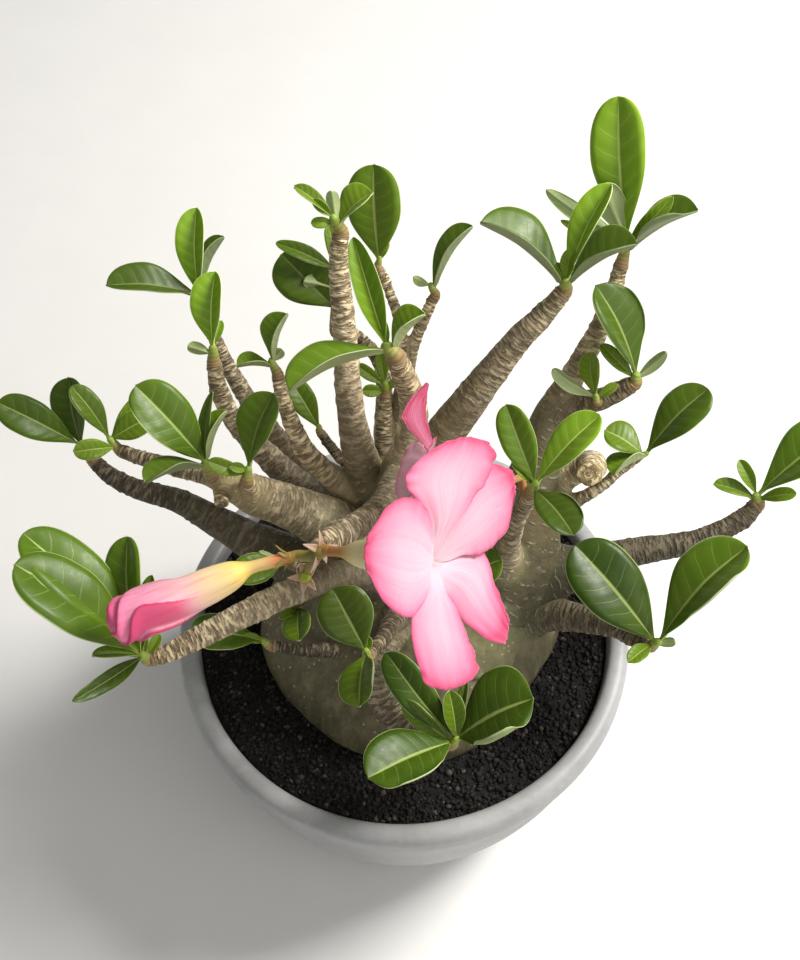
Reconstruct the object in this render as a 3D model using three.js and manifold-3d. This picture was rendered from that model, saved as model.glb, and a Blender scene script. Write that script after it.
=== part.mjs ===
// A desert rose (adenium) in a round bowl pot: a swollen one-piece caudex with many ringed
// branches, a tuft of leaves on each branch tip, two open blooms, one bud and a spent calyx.
// Units are millimetres, +Z is up, -Y is the front, and the origin is the middle of the pot's
// flat underside.
import * as THREE from "three";
import { mergeVertices } from "three/addons/utils/BufferGeometryUtils.js";
import Module from "manifold-3d";

const wasm = await Module();
wasm.setup();

// ---------------------------------------------------------------- driving dimensions

const FIT_GAP = 0.3; // clear space between two pieces that rest on each other

const POT_SIDES = 40;
const POT_BASE_RADIUS = 61;
const POT_FOOT_ROUNDING = 2; // inset of the flat underside's edge
const POT_WALL = 6.5;
const POT_FLOOR = 8;
const FLOOR_CORNER_INSET = 4; // inset of the inner floor's edge, which rounds the inner corner
const LIP_FOOT_HEIGHT = 92; // where the bowl meets the rounded lip
const LIP_FOOT_RADIUS = 87;
const LIP = [
  // radius, height around the rounded lip, from its outer foot to its inner foot
  [89, 93],
  [90, 96.5],
  [88.6, 99.2],
  [85.4, 100],
  [82.6, 99.2],
  [81.6, 96.5],
];

const OUTSIDE_HEIGHTS = [3, 26, 60]; // levels at which the outer wall changes slope
const INSIDE_HEIGHTS = [13, 44, 88]; // levels at which the inner wall changes slope

const SOIL_TOP = 94.2;
const SOIL_EDGE_RADIUS = 81.1; // where the soil meets the inside of the lip
const SOIL_FACE_RADIUS = 80.9; // outermost ring of the uneven top face
const SOIL_EDGE_DROP = 1; // height of the edge below the mean level
const SOIL_CORNER_INSET = 4.2; // inset of the underside's edge, clear of the pot's inner corner
const SOIL_RINGS = 3;
const SOIL_RELIEF = 0.7; // height of the granules above and below the mean level

const CAUDEX_SIDES = 20;
const CAUDEX = [
  // height, centre x, centre y, half-width in x, half-width in y
  [72, 1, -3, 44, 40],
  [84, 1, -4, 54, 49],
  [95, 1, -5, 58, 52],
  [106, 2, -4, 59, 51],
  [117, 3, -2, 55, 46],
  [128, 4, 0, 47, 39],
  [138, 4, 3, 38, 31],
  [148, 3, 6, 28, 24],
  [158, 1, 10, 18, 16],
];
const CAUDEX_LOBE_DEPTH = 0.05; // share of the radius by which the soft lobes rise and sink
const CAUDEX_LOBES = [
  // lobes around the stem, their start in radians, their turn from level to level, their share
  [3, 0.8, 0, 1],
  [5, 0, 0.35, 0.6],
];
const PIT_GAP = 0.4; // widening of the pit in the soil around the caudex

const THICK_BRANCH = 16; // foot diameter from which a branch is rounder
const THICK_BRANCH_SIDES = 7;
const THIN_BRANCH_SIDES = 5;
const STEPS_PER_SPAN = 2; // rings between two branch waypoints
const STEPS_ON_LONG_BRANCH = 1;
const LONG_BRANCH_WAYPOINTS = 6;

// Each branch is a row of waypoints [x, y, z, diameter], from inside the caudex to its tip.
const BRANCHES = {
  centre: [[-2, 1, 118, 58], [-3, 5, 142, 36], [-4, 12, 160, 20], [1, 17, 188, 12.7],
    [5, 23, 212, 10], [2, 22, 232, 8.2], [-1, 22, 243, 7]],
  upright: [[-6, 20, 160, 17], [-13, 23, 177, 13.5], [-17, 29, 205, 10], [-18, 43, 232, 8.3],
    [-19, 54, 253, 6.9], [-18, 58, 262, 5.6]],
  curved: [[-11, 20, 158, 13], [-24, 21, 174, 9.5], [-34, 25, 187, 7.5], [-40, 33, 203, 5.6],
    [-42, 39, 212, 4.6]],
  dark_twig: [[-14, 28, 165, 6], [-23, 34, 170, 4.5], [-29, 41, 174, 3.6]],
  small: [[-3, 24, 168, 10], [-6, 35, 178, 6.2], [-5, 46, 190, 4.7]],
  back_twig: [[-3, 30, 165, 9.7], [0, 46, 184, 6.6], [5, 56, 204, 5], [9, 61, 214, 4.3],
    [13, 65, 222, 3.9]],
  back_tall: [[-5, 30, 165, 9.7], [2, 46, 188, 5.8], [1, 59, 212, 4.3], [-3, 69, 222, 3.6],
    [-6, 74, 227, 3.4]],
  behind_upright: [[-6, 37, 175, 8], [-6, 59, 188, 5.9], [-14, 68, 196, 5.2], [-22, 69, 200, 4.4]],
  flowering: [[0, 16, 186, 12], [-7, -6, 196, 10.2], [-17, -20, 206, 8.9], [-25, -30, 214, 7.7],
    [-27, -35, 217, 5.7]],
  back_right: [[-1, 18, 150, 20], [15, 33, 180, 15.3], [25, 37, 198, 12.8], [34, 42, 211, 10.8],
    [42, 46, 222, 9.3], [49, 49, 229, 8.2], [56, 53, 237, 6.2]],
  left_trunk: [[-4, 6, 140, 32], [-19, 5, 160, 23], [-36, 6, 176, 17], [-51, 6, 188, 14],
    [-59, 6, 195, 10.4], [-64, 6, 201, 6.2]],
  left_knob: [[-51, 4, 188, 8.4], [-52, 3, 196, 5.8], [-52, 1, 204, 4.8]],
  left_thin: [[-58, 7, 194, 8.3], [-70, 10, 195, 6.2], [-84, 15, 195, 5.9], [-93, 19, 194, 5.3],
    [-98, 22, 193, 4.8]],
  left_stub: [[-58, 7, 195, 7.6], [-61, 1, 197, 6.2], [-61, -4, 197, 5]],
  left_low: [[-7, 5, 118, 36], [-32, 9, 128, 24], [-54, 16, 136, 16.1], [-70, 23, 142, 12.3],
    [-85, 30, 147, 9.6], [-100, 33, 151, 8], [-111, 38, 154, 6.9], [-117, 43, 156, 5.6]],
  left_back: [[-20, 22, 140, 19], [-36, 28, 155, 12.8], [-50, 35, 170, 9.7], [-60, 40, 184, 7.7],
    [-65, 47, 195, 6.9], [-66, 52, 203, 5.6]],
  left_behind: [[-20, 30, 135, 15.6], [-39, 42, 152, 10.8], [-52, 50, 172, 7.9],
    [-62, 59, 190, 6.2], [-68, 67, 205, 4.9], [-71, 72, 212, 4]],
  front_left: [[-2, -2, 132, 27], [-14, -10, 156, 13], [-26, -16, 167, 10.9], [-39, -25, 173, 9.7],
    [-54, -34, 175, 9.2], [-69, -42, 174, 7.8], [-79, -47, 173, 6.7], [-85, -49, 173, 5.8]],
  low_left: [[-2, -18, 112, 12], [-22, -25, 128, 7], [-35, -28, 134, 5.2], [-48, -27, 136, 4.4]],
  under_left: [[-26, -15, 165, 7.8], [-35, -18, 158, 5], [-38, -18, 153, 4]],
  behind_bud: [[-30, -16, 166, 7.1], [-35, -13, 167, 4.6], [-39, -11, 167, 3.8]],
  front_drop: [[5, -1, 130, 23], [0, -19, 140, 10.3], [-6, -33, 143, 8.7], [-10, -42, 138, 10.1],
    [-7, -49, 131, 10.8], [2, -58, 126, 8.7], [11, -62, 125, 6.5], [15.4, -63, 127, 5]],
  front_mid: [[2, -9, 138, 15], [-3, -25, 152, 8.6], [-8, -39, 163, 5.5], [-12, -48, 169, 4.4]],
  right_trunk: [[5, 3, 112, 62], [30, 4, 128, 50], [42, 8, 142, 34], [50, 20, 157, 20]],
  far_right: [[44, 12, 150, 21], [52, 33, 172, 14], [56, 44, 182, 11], [64, 51, 196, 9],
    [71, 58, 208, 7.9], [76, 66, 218, 6.7], [79, 73, 228, 5.5]],
  right_mid: [[49, 27, 162, 16.4], [55, 40, 177, 11.8], [64, 43, 185, 9.9], [74, 41, 193, 7.9],
    [80, 41, 198, 7.1], [83, 41, 201, 5.8]],
  mid_shoot: [[73, 42, 191, 5.1], [71, 38, 195, 3.8]],
  front_right: [[36, -2, 145, 18.6], [38, -3, 165, 9.3], [40, -5, 185, 6.2], [42, -7, 200, 5.7],
    [43, -9, 209, 5]],
  right_stub: [[49, 22, 148, 19], [60, 29, 160, 12.7], [70, 29, 168, 11.1], [69, 21, 176, 9.8],
    [67, 16, 181, 8.6]],
  right_twig: [[55, 21, 146, 11.4], [66, 22, 155, 5.6], [74, 24, 160, 4.5], [81, 28, 164, 4.1],
    [88, 32, 167, 3.6]],
  long_right: [[38, 2, 122, 35], [60, 2, 136, 19], [74, 3, 142, 13.5], [89, 5, 145, 10.9],
    [108, 7, 147, 9], [119, 10, 150, 8.2], [128, 14, 153, 7.5], [132, 17, 156, 6.3]],
  low_right: [[34, -5, 116, 31], [52, -11, 126, 14.4], [66, -16, 132, 10.8], [78, -22, 136, 8.5],
    [84, -28, 138, 6.6], [88.6, -31, 139, 5.6]],
};

const BLADE_THICKNESS = 0.9;
const BLADE_ARCH = 0.05; // rise of the blade's middle above its chord, as a share of its length
const BLADE_OUTLINES = [
  // shortest length that takes it, then the outline: share of the length, share of the half-width
  [24, [[0, 0.16], [0.3, 0.55], [0.6, 1], [0.85, 0.8], [1, 0.2]]],
  [10, [[0, 0.2], [0.35, 0.7], [0.72, 0.95], [1, 0.22]]],
  [0, [[0, 0.4], [0.6, 1], [1, 0.3]]],
];
const NARROWEST_BLADE = 4;
const SHOOT_SIDES = 5;
const SHOOT_FOOT_SHARE = 0.82; // foot radius of a green shoot as a share of its branch's end
const LOWEST_LEAF = 0.35; // lowest place on a shoot for a leaf's root, clear of the branch
const SHOOT_TAPER = 0.62; // top radius of a green shoot as a share of its foot radius
const COLLAR_LENGTH = 1.4; // length over which the shoot follows its branch before it bends
const SHOOT_OVERRUN = 1.2; // length of the shoot above its topmost leaf

// Each leafy shoot grows on the branch that is named first and ends at `top`. Its leaves are
// [place on the shoot 0..1, heading, rise, roll, length, width, fold], angles in degrees:
// heading is turned from +X towards +Y, roll is about the midrib, fold lifts both halves.
const SHOOTS = {
  left_back: { branch: "left_back", top: [-66, 55, 209], leaves: [
    [1, 83, 50, 22, 27, 16, 35], [0.6, -177, 33, -129, 10, 5, 25], [1, 64, 39, -23, 10, 4, 30]] },
  left_behind: { branch: "left_behind", top: [-71, 73, 218], leaves: [
    [0.8, -171, 23, -5, 33, 17, 30], [0.7, 86, 59, 20, 32, 14, 35], [1, 53, 44, 48, 22, 14, 35]] },
  curved: { branch: "curved", top: [-44, 42, 217], leaves: [
    [0.9, 63, 49, 45, 18, 16, 35], [0.7, -166, 19, -29, 13, 11, 35]] },
  upright: { branch: "upright", top: [-20, 59, 269], leaves: [
    [1, 159, 38, 5, 16, 6, 35],
    [0.5, 105, 63, -171, 12, 5, 30], [0.5, 24, 39, 15, 16, 15, 28]] },
  back_tall: { branch: "back_tall", top: [-6, 76, 231], leaves: [
    [0.6, 94, 57, 21, 34, 20, 9]] },
  behind_upright: { branch: "behind_upright", top: [-22, 79, 222], leaves: [
    [0.3, 149, 38, 39, 28, 20, 9], [1, 167, 25, 17, 23, 7, 25], [0.7, 178, 19, -117, 12, 6, 20],
    [1, 99, 47, -18, 16, 6, 20]] },
  back_twig: { branch: "back_twig", top: [12, 67, 226], leaves: [
    [0.7, 43, 45, 40, 26, 15, 35]] },
  centre: { branch: "centre", top: [-4, 23, 248], leaves: [
    [0.7, -151, 6, -34, 36, 23, 32], [1, 115, 52, 18, 36, 11, 38], [0.4, 30, 45, 35, 17, 17, 35],
    [0.8, 107, 58, 20, 10, 4, 30]] },
  small: { branch: "small", top: [-5, 48, 195], leaves: [
    [0.8, 155, 30, 33, 13, 5, 20],
    [0.9, 101, 45, 6, 12, 5, 20]] },
  dark_twig: { branch: "dark_twig", top: [-30, 43, 176], leaves: [
    [0.5, 128, 39, 9, 22, 10, 12]] },
  back_right: { branch: "back_right", top: [57, 54, 242], leaves: [
    [0.6, 156, 32, -28, 36, 27, 32], [1, 52, 54, 16, 35, 13, 38], [0.7, 5, 40, 26, 28, 23, 33],
    [0.8, 76, 62, 16, 12, 6, 30]] },
  far_right: { branch: "far_right", top: [81, 78, 234], leaves: [
    [1, 102, 56, 34, 50, 20, 15], [1, 155, 22, -154, 34, 7, 20], [1, 150, 60, -121, 26, 11, 15],
    [1, 21, 47, -49, 22, 7, 25], [0.6, 5, 40, 24, 29, 21, 30], [0.6, 158, 15, 43, 25, 4, 20]] },
  right_mid: { branch: "right_mid", top: [84, 42, 205], leaves: [
    [1, 125, 44, -17, 35, 22, 22], [0.5, 150, 37, 32, 18, 6, 25], [0.3, 18, 47, 156, 16, 5, 25]] },
  mid_shoot: { branch: "mid_shoot", top: [70, 38, 198], leaves: [
    [0.7, 155, 21, 179, 19, 7, 20], [0.9, 104, 47, 58, 16, 10, 15]] },
  front_right: { branch: "front_right", top: [44, -10, 216], leaves: [
    [0.9, 118, 43, 27, 28, 12, 15], [0.9, 33, 41, 4, 31, 14, 20], [0.6, 140, 41, 13, 12, 5, 25],
    [0.4, -63, 15, 10, 25, 15, 15]] },
  right_twig: { branch: "right_twig", top: [91, 32, 170], leaves: [
    [0.9, 35, 38, 14, 33, 19, 10], [0.7, 150, 18, -12, 17, 16, 15], [1, -146, 1, -47, 16, 16, 33]] },
  long_right: { branch: "long_right", top: [132, 19, 160], leaves: [
    [0.6, 162, 13, -7, 17, 8, 25], [1, 124, 37, 23, 15, 6, 30], [0.6, -13, 33, -15, 15, 6, 20],
    [1, 21, 43, 10, 43, 23, 22]] },
  low_right: { branch: "low_right", top: [91.8, -32.4, 144], leaves: [
    [0.7, 135, 29, 11, 46, 25, 9], [1, 38, 41, 28, 47, 29, 18], [0.3, -138, 18, 3, 14, 7, 25]] },
  left_trunk: { branch: "left_trunk", top: [-66, 7, 207], leaves: [
    [1, 145, 44, 11, 35, 19, 10], [1, 61, 40, 47, 19, 12, 35], [0.8, -147, 24, -31, 24, 15, 33],
    [1, 83, 33, 42, 24, 7, 20]] },
  left_knob: { branch: "left_knob", top: [-51, 2, 210], leaves: [
    [1, 63, 44, 24, 27, 19, 22], [0.5, -178, 37, 47, 15, 6, 20]] },
  left_thin: { branch: "left_thin", top: [-102, 25, 196], leaves: [
    [1, 135, 47, -9, 23, 10, 20], [1, 17, 23, -23, 18, 11, 20], [1, 49, 26, -32, 18, 6, 20],
    [0.3, -155, 24, 32, 16, 8, 20]] },
  left_low: { branch: "left_low", top: [-122, 48, 160], leaves: [
    [1, 170, 39, 25, 35, 15, 12], [0.9, 101, 47, 36, 27, 18, 20]] },
  front_left: { branch: "front_left", top: [-88, -50, 177], leaves: [
    [1, 153, 45, -4, 59, 21, 9], [1, 143, 33, -31, 58, 26, 14], [1, 88, 38, 40, 40, 19, 18],
    [1, 74, 33, 15, 29, 5, 20], [0.8, -125, 31, 46, 34, 7, 25], [1, -160, 38, -13, 18, 6, 25]] },
  low_left: { branch: "low_left", top: [-52, -26, 139], leaves: [
    [0.9, -173, 31, -9, 28, 17, 12], [0.6, -178, 39, 14, 10, 4, 20]] },
  under_left: { branch: "under_left", top: [-38, -18, 149], leaves: [
    [1, -87, 22, -20, 18, 12, 22], [1, -134, 26, 13, 10, 4, 20]] },
  behind_bud: { branch: "behind_bud", top: [-42, -10, 168], leaves: [
    [1, -148, 22, 43, 19, 7, 15], [0.3, 170, 28, -180, 12, 4, 20]] },
  front_mid: { branch: "front_mid", top: [-13, -49, 175], leaves: [
    [1, 124, 39, 14, 24, 17, 12], [0.7, -96, 24, -22, 26, 13, 26]] },
  front_drop: { branch: "front_drop", top: [18, -63, 132], leaves: [
    [0.5, -142, 24, -3, 41, 19, 18], [1, 14, 36, 19, 33, 37, 14], [0.7, 134, 31, 32, 40, 14, 12],
    [0.4, 150, 34, 59, 24, 9, 15], [1, 102, 52, -7, 19, 9, 28], [1, 78, 35, 22, 21, 5, 20]] },
};

const FLOWER_SIDES = 12;
const PETAL_THICKNESS = 0.9;
const PETAL_WAVE = 1.4; // height of the waves along a petal's edge
const PETAL_WAVES = 2.5; // number of waves from the petal's foot to its tip
const PETAL_WAVE_LAG = 1.4; // how far the right edge's waves run ahead of the left's, in radians
const PETAL_WAVE_ONSET = 3; // the waves reach full height at one part in this many of the length
const PETAL_ARCH = 0.16; // four times the rise of the middle, as a share of the length
const PETAL_OUTLINE = [
  // share of the length, share of the half-width
  [0, 0.3],
  [0.28, 0.68],
  [0.58, 1],
  [0.84, 0.8],
  [1, 0.14],
];
const PETAL_COLUMNS = 5;

const BLOOM_CREST = [0, 0.84, 0.55]; // direction nearest to which a petal with turn 90 grows

// A bloom: the foot of its tube, the middle of its throat, the scale of its tube, and petals
// [turn about the axis, flare from the axis, length, width, twist], angles in degrees.
const FRONT_BLOOM = {
  foot: [-23, -37, 221],
  throat: [8, -52, 240],
  scale: 1,
  petals: [
    [178, 84, 33, 33, 6],
    [84, 78, 41, 30, 10],
    [34, 76, 40, 29, 10],
    [-40, 78, 39, 27, 10],
    [-95, 80, 42, 26, 10],
  ],
};
const BACK_BLOOM = {
  foot: [41, 1, 203],
  throat: [11, -7, 222],
  stalk: [41.6, -2.5, 197], // where its stalk meets the side of a branch
  scale: 0.8,
  petals: [
    [100, 60, 27, 17, 8],
    [28, 55, 24, 17, 8],
    [-44, 60, 20, 17, 8],
    [-116, 60, 22, 17, 8],
    [172, 60, 27, 17, 8],
  ],
};
const PETAL_FOOT_RADIUS = 4.6; // distance of a petal's foot from the axis
const PETAL_FOOT_LIFT = 1.9; // distance of a petal's foot beyond the tube's mouth
const TUBE_PROFILE = [
  // share of the tube's length, radius
  [0, 1.7],
  [0.16, 1.8],
  [0.24, 2.9],
  [0.4, 3.1],
  [0.6, 4.6],
  [0.8, 6.6],
  [1, 7.6],
];
const THROAT_DEPTH = 8; // depth of the hollow in the tube's mouth
const THROAT_RADIUS = 6.7;
const THROAT_BOTTOM_RADIUS = 1.2;
const CUP_CLEARANCE = 0.5; // distance of the petals' cup beyond the tube's mouth
const CUP_PROFILE = [
  // distance along the axis from the cup's foot at the mouth, radius
  [-7, 0.9],
  [0, 6.9],
  [0.9, 7.2],
  [0.9, 6.2],
  [-5, 0.7],
];

const BUD_PATH = [
  // x, y, z, diameter, from the calyx to the spiralled tip
  [-35, -36, 216, 3.4],
  [-41, -37, 215, 4.4],
  [-47, -38, 214, 6],
  [-53, -40, 213, 11],
  [-62, -44, 212, 14.6],
  [-72, -48, 211, 14.8],
  [-84, -52, 209, 11.6],
  [-92, -55, 208, 5],
];
const BUD_COLOUR_STEP = 4; // waypoint at which the tube turns into the rolled petals
const BUD_SIDES = 10;

const STALK_FOOT_RADIUS = 2.4;
const STALK_HEAD_RADIUS = 2.2;
const STALK_HEAD_LENGTH = 3; // length of the common stalk before it divides
const STALK_RADIUS = 1.9;
const KNEE_LENGTH = 1.6; // length over which a flower stalk is in line with its flower
const SPENT_CALYX = [-31, -40, 210];
const SPENT_CALYX_FACING = [-0.1, -0.6, 0.8];
const SEPALS = 5;
const SEPAL_REACH = 8.5; // distance of a sepal's point from the calyx's axis
const SEPAL_NOTCH = 2.4; // distance of the notch between two sepals from the axis
const SEPAL_LIFT = 1.5; // height of the points above the notches
const SEPAL_THICKNESS = 1;

// ---------------------------------------------------------------- colours and surfaces

const SURFACES = {
  pot: { color: 0xb4b7bb, roughness: 0.62, metalness: 0 },
  soil: { color: 0x1d1916, roughness: 0.96, metalness: 0 },
  bark: { color: 0x7d7463, roughness: 0.8, metalness: 0 },
  leaf: { color: 0x4f7d1e, roughness: 0.38, metalness: 0 },
  petal: { color: 0xf3a2bf, roughness: 0.55, metalness: 0 },
  tube: { color: 0xe3c98c, roughness: 0.55, metalness: 0 },
  stalk: { color: 0xb9825a, roughness: 0.6, metalness: 0 },
};

// ---------------------------------------------------------------- helpers

function vec(p) {
  return new THREE.Vector3(p[0], p[1], p[2]);
}

function radians(degrees) {
  return (degrees * Math.PI) / 180;
}

// A repeatable value from 0 to 1 for a pair of whole numbers.
function noise(i, j) {
  const s = Math.sin(i * 127.1 + j * 311.7 + 74.7) * 43758.5453;
  return s - Math.floor(s);
}

function geometryOf(points, triangles) {
  const geometry = new THREE.BufferGeometry();
  const flat = points.flatMap((p) => [p.x, p.y, p.z]);
  geometry.setAttribute("position", new THREE.Float32BufferAttribute(flat, 3));
  geometry.setIndex(triangles.flat());
  return geometry;
}

function solidOf(geometry) {
  const bare = geometry.clone();
  bare.deleteAttribute("normal");
  bare.deleteAttribute("uv");
  const merged = mergeVertices(bare, 1e-4);
  const mesh = new wasm.Mesh({
    numProp: 3,
    vertProperties: new Float32Array(merged.attributes.position.array),
    triVerts: new Uint32Array(merged.index.array),
  });
  mesh.merge();
  return new wasm.Manifold(mesh);
}

function geometryFrom(solid) {
  const mesh = solid.getMesh();
  const geometry = new THREE.BufferGeometry();
  const positions = new Float32Array(mesh.numVert * 3);
  for (let i = 0; i < mesh.numVert; i += 1) {
    for (let k = 0; k < 3; k += 1) {
      positions[3 * i + k] = mesh.vertProperties[mesh.numProp * i + k];
    }
  }
  geometry.setAttribute("position", new THREE.BufferAttribute(positions, 3));
  geometry.setIndex(new THREE.BufferAttribute(new Uint32Array(mesh.triVerts), 1));
  return geometry;
}

function joined(solids) {
  return solids.reduce((sum, next) => sum.add(next));
}

// A closed body through a row of rings with the same number of points; each end is a flat fan.
function loft(rings) {
  const count = rings[0].length;
  const points = rings.flat();
  const triangles = [];
  for (let i = 0; i + 1 < rings.length; i += 1) {
    for (let j = 0; j < count; j += 1) {
      const a = i * count + j;
      const b = i * count + ((j + 1) % count);
      triangles.push([a, b, b + count], [a, b + count, a + count]);
    }
  }
  const ends = [rings[0], rings[rings.length - 1]];
  ends.forEach((ring, end) => {
    const middle = points.length;
    const centre = ring.reduce((sum, p) => sum.add(p), new THREE.Vector3());
    points.push(centre.multiplyScalar(1 / count));
    const first = end * (rings.length - 1) * count;
    for (let j = 0; j < count; j += 1) {
      const a = first + j;
      const b = first + ((j + 1) % count);
      triangles.push(end === 0 ? [b, a, middle] : [a, b, middle]);
    }
  });
  return geometryOf(points, triangles);
}

// A thin closed sheet from rows of points: every face of the top has its twin underneath.
function sheet(rows, down) {
  const columns = rows[0].length;
  const layer = rows.length * columns;
  const top = rows.flat();
  const points = top.concat(top.map((p, i) => p.clone().add(down(i))));
  const at = (i, j) => i * columns + j;
  const triangles = [];
  const wall = (a, b) => triangles.push([a, a + layer, b + layer], [a, b + layer, b]);
  for (let i = 0; i + 1 < rows.length; i += 1) {
    for (let j = 0; j + 1 < columns; j += 1) {
      const quad = [at(i, j), at(i, j + 1), at(i + 1, j + 1), at(i + 1, j)];
      triangles.push([quad[0], quad[1], quad[2]], [quad[0], quad[2], quad[3]]);
      const under = quad.map((k) => k + layer);
      triangles.push([under[0], under[2], under[1]], [under[0], under[3], under[2]]);
    }
    wall(at(i + 1, 0), at(i, 0));
    wall(at(i, columns - 1), at(i + 1, columns - 1));
  }
  for (let j = 0; j + 1 < columns; j += 1) {
    wall(at(0, j), at(0, j + 1));
    wall(at(rows.length - 1, j + 1), at(rows.length - 1, j));
  }
  return geometryOf(points, triangles);
}

// Round sections of the given radii along a curve, turned without twist.
function tube(centres, radii, sides, firstDirection) {
  const rings = [];
  let across = null;
  centres.forEach((centre, i) => {
    const before = centres[Math.max(i - 1, 0)];
    const after = centres[Math.min(i + 1, centres.length - 1)];
    const along = after.clone().sub(before).normalize();
    if (i === 0 && firstDirection) {
      along.copy(firstDirection);
    }
    if (across === null) {
      across = Math.abs(along.z) > 0.9 ? new THREE.Vector3(1, 0, 0) : new THREE.Vector3(0, 0, 1);
    }
    across.addScaledVector(along, -across.dot(along)).normalize();
    const third = along.clone().cross(across);
    const ring = [];
    for (let j = 0; j < sides; j += 1) {
      const turn = (2 * Math.PI * j) / sides;
      const p = centre.clone();
      p.addScaledVector(across, radii[i] * Math.cos(turn));
      p.addScaledVector(third, radii[i] * Math.sin(turn));
      ring.push(p);
    }
    rings.push(ring);
  });
  return loft(rings);
}

// The smooth path through waypoints [x, y, z, diameter], with its radii.
function pathThrough(waypoints) {
  const long = waypoints.length >= LONG_BRANCH_WAYPOINTS;
  const steps = long ? STEPS_ON_LONG_BRANCH : STEPS_PER_SPAN;
  const curve = new THREE.CatmullRomCurve3(waypoints.map(vec), false, "catmullrom", 0.5);
  const spans = waypoints.length - 1;
  const centres = [];
  const radii = [];
  for (let i = 0; i <= spans * steps; i += 1) {
    const span = Math.min(Math.floor(i / steps), spans - 1);
    const share = i / steps - span;
    centres.push(curve.getPoint(i / (spans * steps)));
    radii.push(THREE.MathUtils.lerp(waypoints[span][3], waypoints[span + 1][3], share) / 2);
  }
  return { centres, radii };
}

// Forward, right and up directions of a blade with the given heading, rise and roll.
function bladeFrame(heading, rise, roll) {
  const [h, e, r] = [heading, rise, roll].map(radians);
  const forward = new THREE.Vector3(
    Math.cos(h) * Math.cos(e), Math.sin(h) * Math.cos(e), Math.sin(e));
  const level = forward.clone().cross(new THREE.Vector3(0, 0, 1)).normalize();
  const over = level.clone().cross(forward);
  const right = level.multiplyScalar(Math.cos(r)).addScaledVector(over, Math.sin(r));
  return { forward, right, up: right.clone().cross(forward) };
}

// A folded, arched blade with the leaf's outline, growing from `root`.
function blade(root, frame, length, width, fold) {
  const half = width / 2;
  const rise = Math.sin(radians(fold));
  const reach = Math.cos(radians(fold));
  const [, outline] = BLADE_OUTLINES.find(([shortest]) => length >= shortest);
  const rows = outline.map(([share, spread]) => {
    const middle = root.clone().addScaledVector(frame.forward, length * share);
    middle.addScaledVector(frame.up, 4 * BLADE_ARCH * length * share * (1 - share));
    return [-1, 0, 1].map((side) => {
      const p = middle.clone();
      p.addScaledVector(frame.right, side * half * spread * reach);
      return p.addScaledVector(frame.up, Math.abs(side) * half * spread * rise);
    });
  });
  return sheet(rows, () => frame.up.clone().multiplyScalar(-BLADE_THICKNESS));
}

function meshOf(name, solid, surface) {
  const mesh = new THREE.Mesh(
    geometryFrom(solid), new THREE.MeshStandardMaterial(SURFACES[surface]));
  mesh.name = name;
  return mesh;
}

// ---------------------------------------------------------------- pot and soil

// Outer radius of the bowl at a height below the lip.
function bowlRadius(height) {
  const share = (LIP_FOOT_HEIGHT - height) / LIP_FOOT_HEIGHT;
  return LIP_FOOT_RADIUS - (LIP_FOOT_RADIUS - POT_BASE_RADIUS) * share * share;
}

function lathe(profile, sides) {
  const points = profile.map(([r, z]) => new THREE.Vector2(r, z));
  return new THREE.LatheGeometry(points, sides).rotateX(Math.PI / 2);
}

function pot() {
  const outside = OUTSIDE_HEIGHTS.map((z) => [bowlRadius(z), z]);
  const inside = INSIDE_HEIGHTS.map((z) => [bowlRadius(z) - POT_WALL, z]).reverse();
  const floorCorner = bowlRadius(POT_FLOOR) - POT_WALL - FLOOR_CORNER_INSET;
  const profile = [[0, 0], [POT_BASE_RADIUS - POT_FOOT_ROUNDING, 0], ...outside,
    [LIP_FOOT_RADIUS, LIP_FOOT_HEIGHT], ...LIP, ...inside, [floorCorner, POT_FLOOR], [0, POT_FLOOR]];
  return solidOf(lathe(profile, POT_SIDES));
}

// Outer radius of the soil: the inside of the pot less the fitting gap.
function soilProfile() {
  const wall = INSIDE_HEIGHTS.map((z) => [bowlRadius(z) - POT_WALL - FIT_GAP, z]);
  const foot = bowlRadius(POT_FLOOR) - POT_WALL - SOIL_CORNER_INSET;
  return [[foot, POT_FLOOR + FIT_GAP], ...wall, [SOIL_EDGE_RADIUS, SOIL_TOP - SOIL_EDGE_DROP]];
}

// A ring of points in step with the pot's facets; `heightAt` gives each point's height.
function levelRing(radius, heightAt) {
  const ring = [];
  for (let j = 0; j < POT_SIDES; j += 1) {
    const turn = (2 * Math.PI * j) / POT_SIDES;
    ring.push(new THREE.Vector3(radius * Math.sin(turn), -radius * Math.cos(turn), heightAt(j)));
  }
  return ring;
}

function soil(pit) {
  const rings = soilProfile().map(([radius, z]) => levelRing(radius, () => z));
  for (let i = SOIL_RINGS; i > 0; i -= 1) {
    const radius = (SOIL_FACE_RADIUS * i) / SOIL_RINGS;
    rings.push(levelRing(radius, (j) => SOIL_TOP + SOIL_RELIEF * (2 * noise(i, j) - 1)));
  }
  return solidOf(loft(rings)).subtract(pit);
}

// ---------------------------------------------------------------- caudex and branches

// The swollen stem; `spread` widens it, which makes the pit for it in the soil.
function caudexRings(spread) {
  return CAUDEX.map(([z, x, y, halfX, halfY], i) => {
    const ring = [];
    for (let j = 0; j < CAUDEX_SIDES; j += 1) {
      const turn = (2 * Math.PI * j) / CAUDEX_SIDES;
      const lobes = CAUDEX_LOBES.map(([count, start, drift, share]) =>
        share * Math.cos(count * turn + start + drift * i));
      const swell = 1 + CAUDEX_LOBE_DEPTH * lobes.reduce((sum, lobe) => sum + lobe);
      ring.push(new THREE.Vector3(
        x + (halfX * swell + spread) * Math.cos(turn),
        y + (halfY * swell + spread) * Math.sin(turn),
        z));
    }
    return ring;
  });
}

function caudexPit() {
  const rings = caudexRings(PIT_GAP);
  rings[0].forEach((p) => {
    p.z -= FIT_GAP;
  });
  return solidOf(loft(rings));
}

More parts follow.
